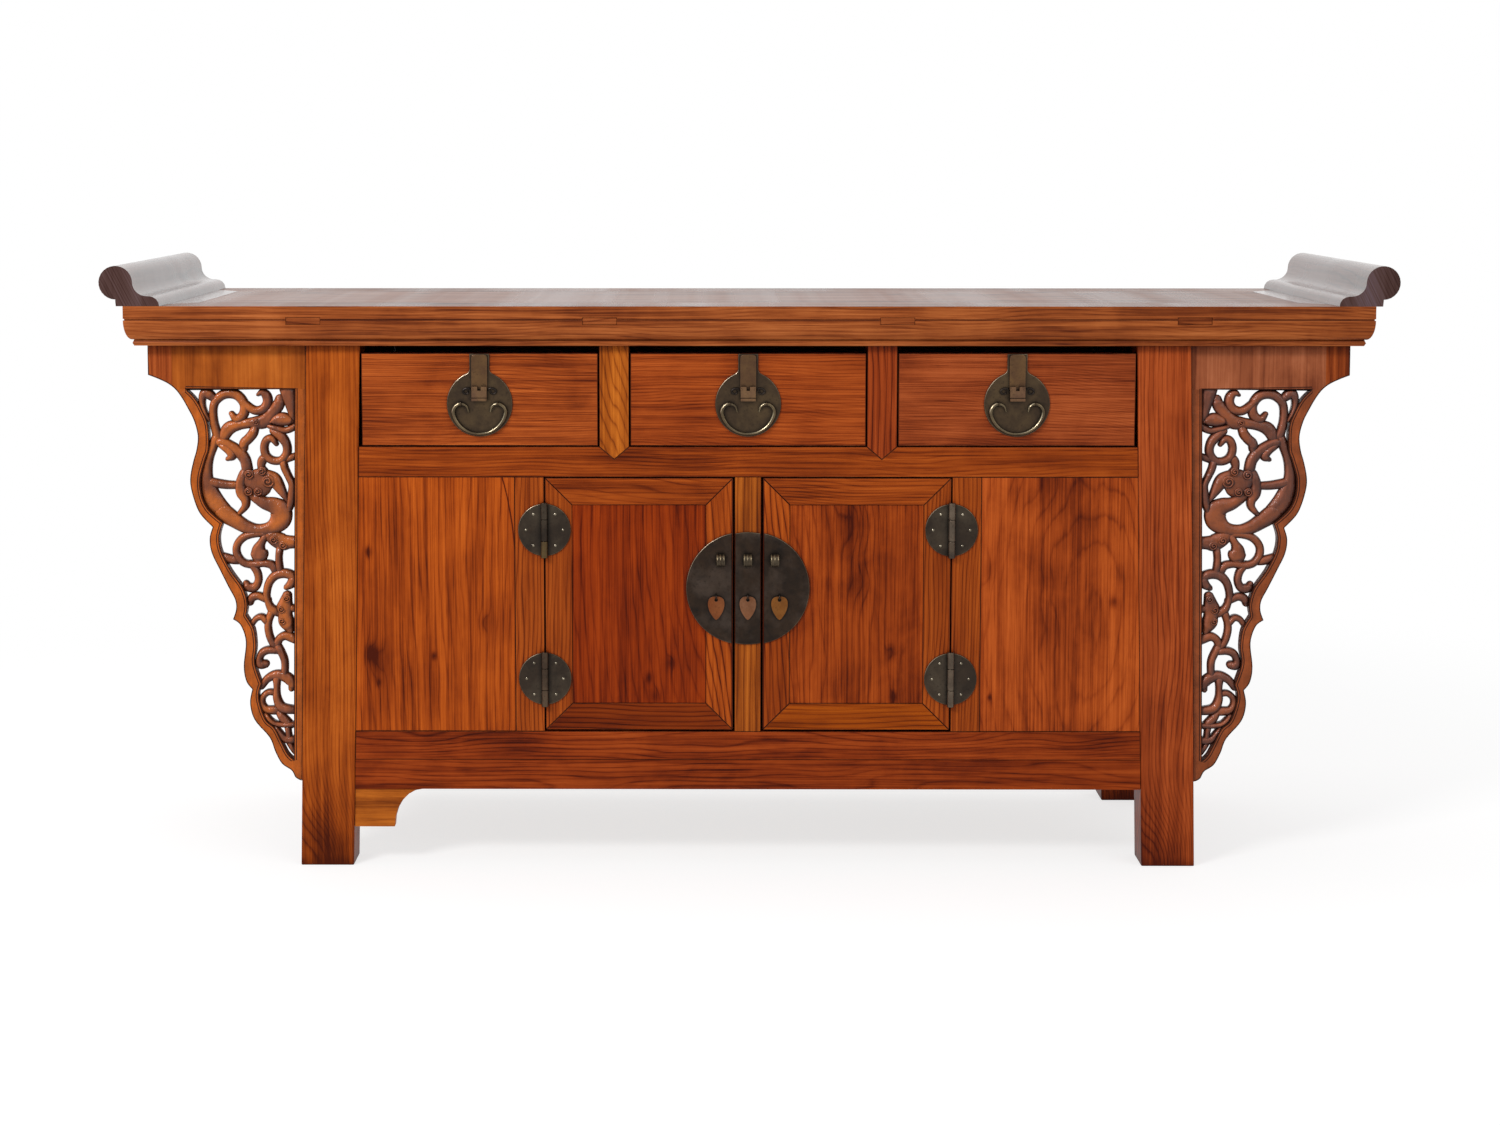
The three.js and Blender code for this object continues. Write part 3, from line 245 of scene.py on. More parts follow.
# How finely round forms are drawn
DISC_STEPS = 60
FLARE_STEPS = 8
STAPLE_STEPS = 4
BAIL_STEPS = 8
LEAF_STEPS = 30
LUG_STEPS = 16
STRIP_STEPS = 12
LOCK_STEPS = 50
PENDANT_STEPS = 4
PENDANT_HOLE_STEPS = 14
RIM_STEPS = 5
WIRE_SIDES = 8
BAIL_SIDES = 14
BARREL_SIDES = 24
NAIL_SIDES = 12
BOSS_SIDES = 18

# The studio, in metres and degrees, with the camera as it was found from the photograph. Lamps are name,
# place, aim, width, height and power
LENS = 58.575
SENSOR = 36
SHIFT = (0.0347, -0.13)
CAMERA_PLACE = (-0.0564, -3.882, 1.085)
CAMERA_DOWN = 4.978
CAMERA_TURN = 0.3014
WORLD_LIGHT = 0.5
FLOOR_REACH = 30
FLOOR_PLAIN = 0.8
FLOOR_PAINT = 0.38
FLOOR_GLOW = 0.7
FLOOR_FADE = (1.2, 2.4)
LAMPS = [
    ("key_light", (-2.4, -3.0, 2.9), (0, 0, 0.4), 1.2, 0.8, 96),
    ("fill_light", (2.8, -3.4, 2.6), (0, 0, 0.4), 3.4, 2.2, 34),
    ("top_light", (0.0, 0.6, 3.4), (0, 0, 0.8), 3.6, 1.8, 26),
]

# Which axes run along, across and into a board, for each direction of its grain
GRAIN_AXES = {"X": (0, 2, 1), "Y": (1, 0, 2), "Z": (2, 0, 1)}
# Noise in the wood: waves per metre along and across the grain, detail, roughness, offset and distortion
GRAIN_LAYERS = {
    "wave": (1.8, 7.0, 2.0, 0.55, 0.0, 0.0),
    "ripple": (7.0, 45.0, 2.0, 0.55, 4.0, 0.0),
    "fibre": (4.0, 330.0, 3.0, 0.65, 1.0, 0.0),
    "pores": (11.0, 420.0, 2.0, 0.6, 6.0, 0.0),
    "streak": (2.6, 75.0, 4.0, 0.6, 2.0, 0.2),
    "tone": (1.6, 9.0, 3.0, 0.55, 7.0, 0.0),
    "fading": (3.0, 30.0, 2.0, 0.5, 9.0, 0.0),
}
# Ramps as (place, value) stops. Those of the seam's painted shade are in twentieths of a metre from the
# coffer's middle
RING_STOPS = [(0.0, 0.0), (0.08, 0.45), (0.2, 0.86), (0.45, 1.0), (0.88, 0.76), (1.0, 0.0)]
PORE_STOPS = [(0.56, 0.0), (0.7, 1.0)]
CORNER_SHADE_STOPS = [(0.3, 0.5), (0.85, 0.0)]
SEAM_SHADE_STOPS = [(0.376, 0.0), (0.398, 0.8), (0.482, 0.8), (0.504, 0.0)]
SEAM_SCALE = 20
HOLLOW_SHADE_STOPS = [(0.4, 1.0), (0.9, 0.0)]
WARM_STOPS = [(0.36, 0.0), (0.66, 1.0)]
CARVING_HIGHLIGHT_STOPS = [(0.62, 0.0), (0.86, 1.0)]
SHADED_STOPS = [(0.06, 1.0), (0.49, 0.0)]
SPECK_STOPS = [(0.56, 0.0), (0.74, 0.7)]
METAL_HIGHLIGHT_STOPS = [(0.72, 0.0), (0.93, 1.0)]
CONTACT_SHADE_STOPS = [(0.45, 0.9), (0.95, 0.0)]
# The wood's colours from dark to light, as shares of its own colour
WOOD_TONES = [(0.0, (0.2, 0.13, 0.2)), (0.28, (0.56, 0.47, 0.45)), (0.5, (0.98, 0.96, 0.95)),
              (0.74, (1.42, 1.62, 1.8)), (1.0, (1.75, 2.25, 3.0))]
# The crack in the left panel: its place across, where it starts to bow and how fast, how far it wavers, how
# sharp it is and how dark
CRACK_ACROSS = -0.3515
CRACK_BOW_FROM = 0.47
CRACK_BOW = 1.12
CRACK_WAVER = 0.004
CRACK_SHARPNESS = 1.1e6
CRACK_DARKNESS = 0.75
WOOD_SPECULAR = 0.07
METALLIC = 0.8
# How far pieces of one wood, or of one carving, are apart in the noise and in where their growth lines start
WOOD_VARIETY = 9.7
RUN_VARIETY = 3.1
RING_SHIFT = 0.013
CARVING_VARIETY = 7.3
# How much the depth in a board moves its grain across, and how much the ripples bend its growth lines
DEPTH_SHARE = 0.5
RIPPLE_SHARE = 1.1
# The length of a knot and of a cloud against its width
KNOT_LENGTH = 1.7
CLOUD_LENGTH = 1.5
# The growth lines' middle value and strength, where they fade, the shares of them that fade and stay, and the
# weights of tone and pores
RING_MIDDLE = 0.72
LINE_STRENGTH = 1.15
FADING_RANGE = (0.3, 0.62)
FADING_SHARES = (0.7, 0.3)
TONE_WEIGHT = 0.24
PORE_WEIGHT = 0.5
# Carving and metal: shares of their own colour in the fibres, the patches, the blotches, the painted
# highlights, the specks and the painted contact shade, and how far patches, blotches and the painted shade
# down flanks take effect
FIBRE_TONES = (0.7, 1.35)
PATCH_TONE = 1.6
BLOTCH_TONE = 0.42
HIGHLIGHT_TONE = 3.0
SPECK_TONE = 0.4
CONTACT_SHADE_TONE = 0.25
PATCH_SHARE = 0.5
BLOTCH_SHARE = 0.6
FLANK_SHADE_SHARE = 0.85
BROAD_RANGE = (0.44, 0.7)
# How far roughness varies over a surface, and the roughness of a clear coat
WOOD_GLOSS_SPREAD = 0.18
CARVING_GLOSS_SPREAD = 0.16
METAL_GLOSS_SPREAD = 0.2
COAT_ROUGHNESS = 0.2
# The way that the key light comes from, for the painted highlights and painted shade on the carving and the
# metal
LIGHT_FROM = (-0.62, -0.5, 0.6)
# Other noises: waves per metre, detail, roughness and distortion
CLOUD_NOISE = (9.0, 4.0, 0.6, 0.3)
FIBRE_NOISE = (1.0, 4.0, 0.6, 0.3)
FIBRE_ACROSS = 160.0
FIBRE_ALONG = 9.0
BLOTCH_NOISE = (48.0, 4.0, 0.6)
PATCH_NOISE = (13.0, 2.0, 0.5)
TOOL_NOISE = (210.0, 2.0, 0.5)
PATINA_NOISE = (38.0, 5.0, 0.65, 0.4)
SPECK_NOISE = (260.0, 3.0, 0.6)
BROAD_NOISE = (21.0, 4.0, 0.6)
DENT_NOISE = (90.0, 2.0, 0.5)
# Bumps: strength, and height in metres
LINE_BUMP = (0.3, 0.0004)
WAVE_BUMP = (0.2, 0.006)
TOOL_BUMP = (0.5, 0.0016)
CARVING_BUMP = (0.4, 0.0025)
DENT_BUMP = (0.35, 0.0008)
SPECK_BUMP = (0.2, 0.0003)
# Rays that feel how open a place is, for painted shade in corners, in hollows and where parts touch: how
# many, and how far they reach in metres
CORNER_SHADE_RAYS = (4, 0.018)
HOLLOW_SHADE_RAYS = (6, 0.008)
CONTACT_SHADE_RAYS = (5, 0.007)


def srgb(red, green, blue):
    """Linear colour of an 8-bit sRGB one."""
    def linear(value):
        share = value / 255
        return share / 12.92 if share <= 0.04045 else ((share + 0.055) / 1.055) ** 2.4
    return (linear(red), linear(green), linear(blue), 1)


def grey(value):
    return (value, value, value, 1)


def shade(colour, *shares):
    """A colour times one share, or times a share for each of its channels."""
    shares = shares if len(shares) > 1 else shares * 3
    return tuple(min(1.0, channel * share) for channel, share in zip(colour, shares)) + (1,)


class Tree:
    """The nodes of a material or a world."""

    def __init__(self, owner):
        owner.use_nodes = True
        self.tree = owner.node_tree
        self.tree.nodes.clear()

    def add(self, kind, inputs=None, **settings):
        """A new node. Its inputs are plain values, outputs of nodes, or nodes, of which the first output
        counts."""
        node = self.tree.nodes.new(kind)
        for key, value in settings.items():
            setattr(node, key, value)
        for key, value in (inputs or {}).items():
            if isinstance(value, bpy.types.Node):
                value = value.outputs[0]
            if isinstance(value, bpy.types.NodeSocket):
                self.tree.links.new(value, node.inputs[key])
            else:
                node.inputs[key].default_value = value
        return node

    def math(self, operation, *values, **settings):
        inputs = dict(enumerate(values))
        return self.add("ShaderNodeMath", inputs, operation=operation, **settings).outputs[0]

    def times(self, first, second, plus=0.0):
        return self.math("MULTIPLY_ADD", first, second, plus)

    def minus(self, first, second):
        return self.math("SUBTRACT", first, second)

    def place(self):
        return self.add("ShaderNodeTexCoord").outputs["Object"]

    def seen_by_eye(self):
        """1 for rays from the camera and for those that a mirror or glass sends on."""
        rays = self.add("ShaderNodeLightPath").outputs
        sent_on = self.math("ADD", rays["Is Glossy Ray"], rays["Is Transmission Ray"])
        return self.math("ADD", rays["Is Camera Ray"], sent_on, use_clamp=True)


class Shader(Tree):
    """A material in the making."""

    def __init__(self, name):
        self.material = bpy.data.materials.new(name)
        super().__init__(self.material)

    def surfaced(self, inputs):
        """The material, once it has its surface."""
        surface = self.add("ShaderNodeBsdfPrincipled", inputs)
        self.add("ShaderNodeOutputMaterial", {"Surface": surface})
        return self.material

    def noise(self, vector, scale, detail, roughness, distortion=0.0):
        inputs = {"Vector": vector, "Scale": scale, "Detail": detail, "Roughness": roughness}
        return self.add("ShaderNodeTexNoise", inputs | {"Distortion": distortion}).outputs["Fac"]

    def stretched(self, value, low=0.3, high=0.7):
        """A noise value spread over the whole of 0 to 1."""
        inputs = {"Value": value, "From Min": low, "From Max": high}
        return self.add("ShaderNodeMapRange", inputs).outputs["Result"]

    def ramp(self, value, stops):
        node = self.add("ShaderNodeValToRGB", {"Fac": value})
        elements = node.color_ramp.elements
        while len(elements) < len(stops):
            elements.new(0.5)
        for element, (place, colour) in zip(elements, stops):
            element.position = place
            element.color = colour if isinstance(colour, tuple) else grey(colour)
        return node.outputs["Color"]

    def mix(self, share, first, second):
        return self.add("ShaderNodeMix", {0: share, 6: first, 7: second}, data_type="RGBA").outputs[2]

    def combine(self, x, y, z):
        return self.add("ShaderNodeCombineXYZ", {0: x, 1: y, 2: z}).outputs[0]

    def separate(self, vector):
        return self.add("ShaderNodeSeparateXYZ", {0: vector}).outputs

    def normal(self):
        return self.separate(self.add("ShaderNodeTexCoord").outputs["Normal"])

    def own(self):
        """A number that each object has to itself."""
        return self.add("ShaderNodeObjectInfo").outputs["Random"]

    def openness(self, samples, distance):
        return self.add("ShaderNodeAmbientOcclusion", {"Distance": distance}, samples=samples).outputs["AO"]

    def toward_light(self):
        """How far a face looks up, forward and to the left, toward the key light, for painted highlights and
        painted shade.
        """
        x, y, z = self.normal()
        return self.times(x, LIGHT_FROM[0], self.times(y, LIGHT_FROM[1], self.times(z, LIGHT_FROM[2])))

    def bump(self, height, strength, distance, normal=None):
        inputs = {"Height": height, "Strength": strength, "Distance": distance}
        if normal:
            inputs["Normal"] = normal
        return self.add("ShaderNodeBump", inputs).outputs[0]


def knot_marks(s, along, across, knots):
    """How much darker the knots make the wood, and how far they bend its lines."""
    darkening, bend = 0.0, 0.0
    for place_along, place_across, radius, darkness in knots:
        up = s.math("DIVIDE", s.minus(along, place_along), radius * KNOT_LENGTH)
        aside = s.math("DIVIDE", s.minus(across, place_across), radius)
        spot = s.math("EXPONENT", s.times(s.times(up, up, s.times(aside, aside)), -1.0))
        darkening = s.times(spot, darkness, darkening)
        bend = s.times(spot, radius, bend)
    return darkening, bend


def wood(name, grain, rgb, spacing, wander, lines, streaks, clouds, fine, seed, pith=(0.9, 0.0, 0.03, 0.02),
         gloss=0.36, coat=0.0, knots=(), crack=False, seam_shade=False):
    """Polished elm. The growth lines lie round the pith, which is given as its place across the grain, its
    place along it, how fast the lines close along it, and its depth. knots are (place along, place across,
    radius, darkness), all in metres. With seam_shade, it has black painted shade along the gap where the post
    and the doors meet."""
    s = Shader(name)
    own = s.times(s.own(), WOOD_VARIETY, seed)
    axes = s.separate(s.place())
    along, across, deep = (axes[place] for place in GRAIN_AXES[grain])
    across_in = s.times(deep, DEPTH_SHARE, across)

    def layer(kind):
        along_scale, across_scale, detail, roughness, offset, distortion = GRAIN_LAYERS[kind]
        run = s.times(along, along_scale, s.times(own, RUN_VARIETY, offset))
        spot = s.combine(run, s.times(across_in, across_scale), own)
        return s.noise(spot, 1.0, detail, roughness, distortion)

    wave = layer("wave")
    ripple = layer("ripple")
    pith_across, pith_along, closing, pith_depth = pith
    off = s.minus(across_in, pith_across)
    run = s.times(s.minus(along, pith_along), closing)
    radius = s.math("SQRT", s.times(off, off, s.times(run, run, pith_depth ** 2)))
    radius = s.times(wave, wander * 2, radius)
    radius = s.times(ripple, spacing * RIPPLE_SHARE, radius)
    if knots:
        darkening, bend = knot_marks(s, along, across, knots)
        radius = s.math("ADD", radius, bend)
    phase = s.math("FRACT", s.math("DIVIDE", s.times(own, RING_SHIFT, radius), spacing))
    rings = s.ramp(phase, RING_STOPS)

    fibre = s.stretched(layer("fibre"))
    streak = s.stretched(layer("streak"))
    tone = s.stretched(layer("tone"))
    cloud = s.stretched(s.noise(s.combine(along, s.times(across, CLOUD_LENGTH), own), *CLOUD_NOISE))
    strength = s.times(s.stretched(layer("fading"), *FADING_RANGE), *FADING_SHARES)
    value = s.times(s.minus(rings, RING_MIDDLE), s.times(strength, LINE_STRENGTH * lines), 0.5)
    for part, weight in ((fibre, fine), (streak, streaks), (tone, TONE_WEIGHT), (cloud, clouds)):
        value = s.times(s.minus(part, 0.5), weight, value)
    value = s.times(s.ramp(layer("pores"), PORE_STOPS), -PORE_WEIGHT * fine, value)
    # Painted shade: darker wood where little is open round it, in corners, gaps and under overhangs
    value = s.minus(value, s.ramp(s.openness(*CORNER_SHADE_RAYS), CORNER_SHADE_STOPS))
    if knots:
        value = s.minus(value, darkening)
    # Painted shade: black along the gap between the post and the doors
    if seam_shade:
        value = s.minus(value, s.ramp(s.times(s.math("ABSOLUTE", across), SEAM_SCALE), SEAM_SHADE_STOPS))
    if crack:
        bow = s.math("MAXIMUM", s.minus(along, CRACK_BOW_FROM), 0.0)
        line = s.times(s.times(bow, bow), CRACK_BOW, s.minus(across, CRACK_ACROSS))
        line = s.times(ripple, CRACK_WAVER, line)
        near = s.math("EXPONENT", s.times(s.times(line, line), -CRACK_SHARPNESS))
        value = s.times(near, -CRACK_DARKNESS, value)
    base = srgb(*rgb)
    relief = s.bump(s.times(rings, 0.5, fibre), *LINE_BUMP)
    return s.surfaced({
        "Base Color": s.ramp(value, [(place, shade(base, *shares)) for place, shares in WOOD_TONES]),
        "Roughness": s.times(cloud, WOOD_GLOSS_SPREAD, gloss - WOOD_GLOSS_SPREAD / 2),
        "Specular IOR Level": WOOD_SPECULAR,
        "Coat Weight": coat,
        "Coat Roughness": COAT_ROUGHNESS,
        "Normal": s.bump(wave, *WAVE_BUMP, relief),
    })


def carved(name, rgb, shade_rgb, sides=(0.3, 0.78), hollow_shade=0.85, gloss=0.18, shine=0.26, painted_light=0.0,
           warm=None):
    """Polished carving, with painted shade in its hollows, down its sides and on faces turned from the key
    light, a painted highlight on faces turned to it, and the colour warm in patches. sides are how far a face
    looks forward where its painted shade is darkest and where it ends. painted_light is how strong the
    painted highlight and the painted shade on faces turned from the light are."""
    s = Shader(name)
    place = s.place()
    axes = s.separate(place)
    own = s.times(s.own(), CARVING_VARIETY)
    upright = s.combine(s.times(axes[0], FIBRE_ACROSS, own), own, s.times(axes[2], FIBRE_ALONG))
    fibre = s.stretched(s.noise(upright, *FIBRE_NOISE))
    blotch = s.stretched(s.noise(place, *BLOTCH_NOISE))
    patch = s.stretched(s.noise(place, *PATCH_NOISE))
    base, dark = srgb(*rgb), srgb(*shade_rgb)
    ground = s.mix(fibre, *[shade(base, tone) for tone in FIBRE_TONES])
    if warm:
        ground = s.mix(s.ramp(patch, WARM_STOPS), ground, srgb(*warm))
    else:
        ground = s.mix(s.times(patch, PATCH_SHARE), ground, shade(base, PATCH_TONE))
    ground = s.mix(s.times(blotch, BLOTCH_SHARE), ground, shade(base, BLOTCH_TONE))
    # Painted highlight: lighter on faces turned up and to the left, toward the key light
    picked = s.times(s.ramp(s.toward_light(), CARVING_HIGHLIGHT_STOPS), s.times(blotch, -BLOTCH_SHARE, 1.0))
    ground = s.mix(s.times(picked, painted_light), ground, shade(base, HIGHLIGHT_TONE))
    # Painted shade: darker on faces turned away from the key light
    ground = s.mix(s.times(s.ramp(s.toward_light(), SHADED_STOPS), painted_light), ground, dark)
    # Painted shade: darker in the hollows, where little is open round a face
    ground = s.mix(s.times(s.ramp(s.openness(*HOLLOW_SHADE_RAYS), HOLLOW_SHADE_STOPS), hollow_shade), ground, dark)
    # Painted shade: darker down the sides, which look less forward
    flank_shade = s.ramp(s.math("ABSOLUTE", s.normal()[1]), [(sides[0], 1.0), (sides[1], 0.0)])
    ground = s.mix(s.times(flank_shade, FLANK_SHADE_SHARE), ground, dark)
    relief = s.bump(s.noise(place, *TOOL_NOISE), *TOOL_BUMP)
    return s.surfaced({
        "Base Color": ground,
        "Roughness": s.times(blotch, CARVING_GLOSS_SPREAD, gloss - CARVING_GLOSS_SPREAD / 2),
        "Specular IOR Level": shine,
        "Normal": s.bump(s.times(fibre, 0.5, blotch), *CARVING_BUMP, relief),
    })


def metal(name, rgb, worn, patina, rough=0.4, wear=0.5, highlight=None):
    """Old brass: mottled dark patina, rubbed lighter in places, with small dents, and painted shade where
    parts touch.
    highlight is the colour of a painted highlight on what looks up and to the left, toward the key light."""
    s = Shader(name)
    place = s.place()
    cloud = s.stretched(s.noise(place, *PATINA_NOISE))
    speck = s.noise(place, *SPECK_NOISE)
    broad = s.stretched(s.noise(place, *BROAD_NOISE), *BROAD_RANGE)
    base, old = srgb(*rgb), srgb(*patina)
    ground = s.mix(cloud, base, old)
    ground = s.mix(s.times(broad, wear), ground, srgb(*worn))
    ground = s.mix(s.ramp(speck, SPECK_STOPS), ground, shade(base, SPECK_TONE))
    # Painted highlight: the colour highlight on faces turned up and to the left, toward the key light
    if highlight:
        ground = s.mix(s.ramp(s.toward_light(), METAL_HIGHLIGHT_STOPS), ground, srgb(*highlight))
    # Painted shade: dark where the metal is close to other parts, round straps, knobs, staples and bails
    ground = s.mix(s.ramp(s.openness(*CONTACT_SHADE_RAYS), CONTACT_SHADE_STOPS), ground, shade(old, CONTACT_SHADE_TONE))
    dents = s.bump(s.noise(place, *DENT_NOISE), *DENT_BUMP)
    return s.surfaced({
        "Base Color": ground,
        "Metallic": METALLIC,
        "Roughness": s.times(cloud, METAL_GLOSS_SPREAD, rough - METAL_GLOSS_SPREAD / 2),
        "Normal": s.bump(speck, *SPECK_BUMP, dents),
    })


# Woods: the axis of the grain, the colour, the spacing of the growth lines, how far they wander, how strong
# lines, streaks, clouds and fibres are, and a seed. WOOD_DETAILS says what else a wood has
WOODS = {
    "leg_elm_left": ("Z", (150, 68, 15), 0.006, 0.02, 0.27, 0.3, 0.28, 0.3, 1.3),
    "leg_elm_right": ("Z", (154, 67, 26), 0.0065, 0.03, 0.34, 0.3, 0.22, 0.3, 3.3),
    "panel_elm_left": ("Z", (152, 64, 12), 0.011, 0.03, 0.3, 0.4, 0.24, 0.4, 4.1),
    "panel_elm_right": ("Z", (154, 65, 19), 0.021, 0.08, 0.2, 0.2, 0.32, 0.4, 4.9),
    "door_panel_elm_left": ("Z", (126, 42, 4), 0.012, 0.03, 0.3, 0.36, 0.26, 0.4, 2.2),
    "door_panel_elm_right": ("Z", (140, 56, 12), 0.014, 0.08, 0.26, 0.22, 0.4, 0.4, 2.8),
    "stile_elm": ("Z", (140, 60, 13), 0.006, 0.035, 0.5, 0.3, 0.16, 0.3, 8.4),
    "door_stile_elm": ("Z", (148, 63, 13), 0.008, 0.03, 0.6, 0.3, 0.16, 0.3, 8.9),
    "post_elm": ("Z", (158, 80, 21), 0.0098, 0.008, 0.3, 0.4, 0.16, 0.3, 5.5),
    "rail_elm": ("X", (138, 58, 12), 0.005, 0.04, 0.36, 0.34, 0.24, 0.4, 6.1),
    "door_rail_elm_left": ("X", (108, 38, 4), 0.0075, 0.012, 0.75, 0.3, 0.16, 0.3, 6.7),
    "door_rail_elm_right": ("X", (138, 59, 5), 0.0075, 0.02, 0.5, 0.3, 0.16, 0.3, 6.9),
    "moulding_elm": ("X", (148, 76, 34), 0.005, 0.04, 0.22, 0.4, 0.28, 0.4, 3.3),
    "low_rail_elm": ("X", (126, 47, 10), 0.009, 0.07, 0.42, 0.42, 0.4, 0.4, 7.2),
    "drawer_elm_left": ("X", (154, 70, 24), 0.0036, 0.04, 0.25, 0.26, 0.26, 0.44, 9.1),
    "drawer_elm_centre": ("X", (144, 61, 18), 0.0036, 0.04, 0.25, 0.26, 0.26, 0.44, 9.5),
    "drawer_elm_right": ("X", (140, 62, 26), 0.0036, 0.04, 0.25, 0.26, 0.26, 0.44, 9.9),
    "divider_elm_left": ("Z", (162, 82, 20), 0.009, 0.04, 0.3, 0.3, 0.16, 0.3, 2.9),
    "divider_elm_right": ("Z", (140, 56, 18), 0.01, 0.02, 0.5, 0.3, 0.16, 0.3, 2.4),
    "bracket_elm": ("X", (178, 96, 28), 0.01, 0.06, 0.12, 0.34, 0.34, 0.2, 2.3),
    "head_elm_left": ("Z", (164, 84, 26), 0.03, 0.08, 0.1, 0.15, 0.24, 0.14, 5.9),
    "head_elm_right": ("Z", (154, 86, 54), 0.03, 0.08, 0.1, 0.2, 0.34, 0.16, 5.4),
    "end_elm": ("Z", (136, 60, 22), 0.012, 0.05, 0.3, 0.3, 0.16, 0.3, 3.1),
    "side_elm": ("Z", (150, 64, 17), 0.012, 0.06, 0.4, 0.36, 0.3, 0.3, 7.7),
    "back_elm": ("X", (136, 68, 30), 0.014, 0.06, 0.4, 0.3, 0.3, 0.3, 0.0),
    "inner_wood": ("X", (166, 120, 72), 0.01, 0.04, 0.4, 0.3, 0.16, 0.3, 1.9),
    "lacquered_elm": ("X", (112, 72, 54), 0.014, 0.05, 0.5, 0.6, 0.16, 0.3, 0.7),
    "flange_lacquer": ("Y", (88, 56, 46), 0.01, 0.02, 0.4, 0.3, 0.16, 0.3, 3.7),
    "end_grain": ("Y", (74, 52, 48), 0.004, 0.05, 0.22, 0.15, 0.7, 0.3, 0.0),
    # Grime and painted shade: dark wood for the rounded edges beside the gaps between parts
    "edge_grime": ("Z", (84, 36, 14), 0.0085, 0.02, 0.2, 0.5, 0.6, 0.3, 0.0),
    "tenon_end_grain": ("Y", (112, 54, 28), 0.004, 0.01, 0.5, 0.3, 0.16, 0.3, 0.0),
}
DRAWER_PITH = (0.5, 0.0, 0.05, 0.03)
WOOD_DETAILS = {
    "leg_elm_left": {"knots": [(0.0, -0.64, 0.05, 0.36)]},
    "leg_elm_right": {"knots": [(0.0, 0.63, 0.05, 0.36)]},
    "panel_elm_left": {
        "pith": (-0.9, 0.4, 0.06, 0.05), "crack": True,
        "knots": [(0.485, -0.576, 0.005, 0.6), (0.33, -0.573, 0.008, 0.55), (0.316, -0.566, 0.014, 0.25),
                  (0.377, -0.401, 0.008, 0.28), (0.284, -0.562, 0.004, 0.4), (0.325, -0.478, 0.004, 0.4)]},
    "panel_elm_right": {
        "pith": (0.415, 0.4, 0.42, 0.02),
        "knots": [(0.456, 0.364, 0.012, 0.3), (0.437, 0.454, 0.013, 0.22), (0.372, 0.458, 0.02, 0.2),
                  (0.409, 0.554, 0.006, 0.45), (0.579, 0.447, 0.024, 0.2), (0.262, 0.368, 0.003, 0.6)]},
    "door_panel_elm_left": {
        "pith": (-0.13, 0.56, 0.3, 0.02),
        "knots": [(0.315, -0.117, 0.006, 0.4), (0.292, -0.15, 0.005, 0.45), (0.263, -0.139, 0.008, 0.45)]},
    "door_panel_elm_right": {
        "pith": (0.19, 0.62, 0.16, 0.02),
        "knots": [(0.528, 0.164, 0.024, 0.3), (0.44, 0.17, 0.016, 0.22), (0.262, 0.222, 0.006, 0.6),
                  (0.332, 0.219, 0.007, 0.32)]},
    "door_stile_elm": {"pith": (0.2, 0.9, 0.22, 0.02), "seam_shade": True},
    "post_elm": {"seam_shade": True},
    "door_rail_elm_left": {"pith": (0.3, -0.16, 0.2, 0.01)},
    "door_rail_elm_right": {"pith": (0.3, 0.12, 0.2, 0.01)},
    "drawer_elm_left": {"pith": DRAWER_PITH},
    "drawer_elm_centre": {"pith": DRAWER_PITH},
    "drawer_elm_right": {"pith": DRAWER_PITH},
    "divider_elm_left": {"pith": (-0.24, 0.9, 0.35, 0.01)},
    "back_elm": {"gloss": 0.55},
    "inner_wood": {"gloss": 0.7},
    "lacquered_elm": {"gloss": 0.3, "coat": 0.12},
    "flange_lacquer": {"gloss": 0.28, "coat": 1.0},
    "end_grain": {"pith": (0.89, 0.0, 0.0, 0.01), "gloss": 0.5},
}
# Carved woods: the colour, the colour of its painted shade in hollows and down its sides, and what else it
# has
CARVINGS = {
    "carved_elm_left": ((132, 70, 40), (58, 29, 22), {"painted_light": 0.8, "warm": (186, 98, 34)}),
    "carved_elm_right": ((110, 61, 43), (44, 23, 22), {"painted_light": 0.8, "warm": (150, 78, 40)}),
    # Painted shade: the dark of the thin sheets on the spandrel's board
    "groove_elm": ((62, 28, 16), (40, 18, 12), {"shine": 0.1}),
    "rim_elm_left": ((172, 84, 18), (70, 34, 18),
        {"sides": (0.3, 0.8), "hollow_shade": 0.5, "gloss": 0.36, "shine": 0.2}),
    "rim_elm_right": ((140, 68, 28), (58, 30, 20),
        {"sides": (0.3, 0.8), "hollow_shade": 0.5, "gloss": 0.36, "shine": 0.2}),
}
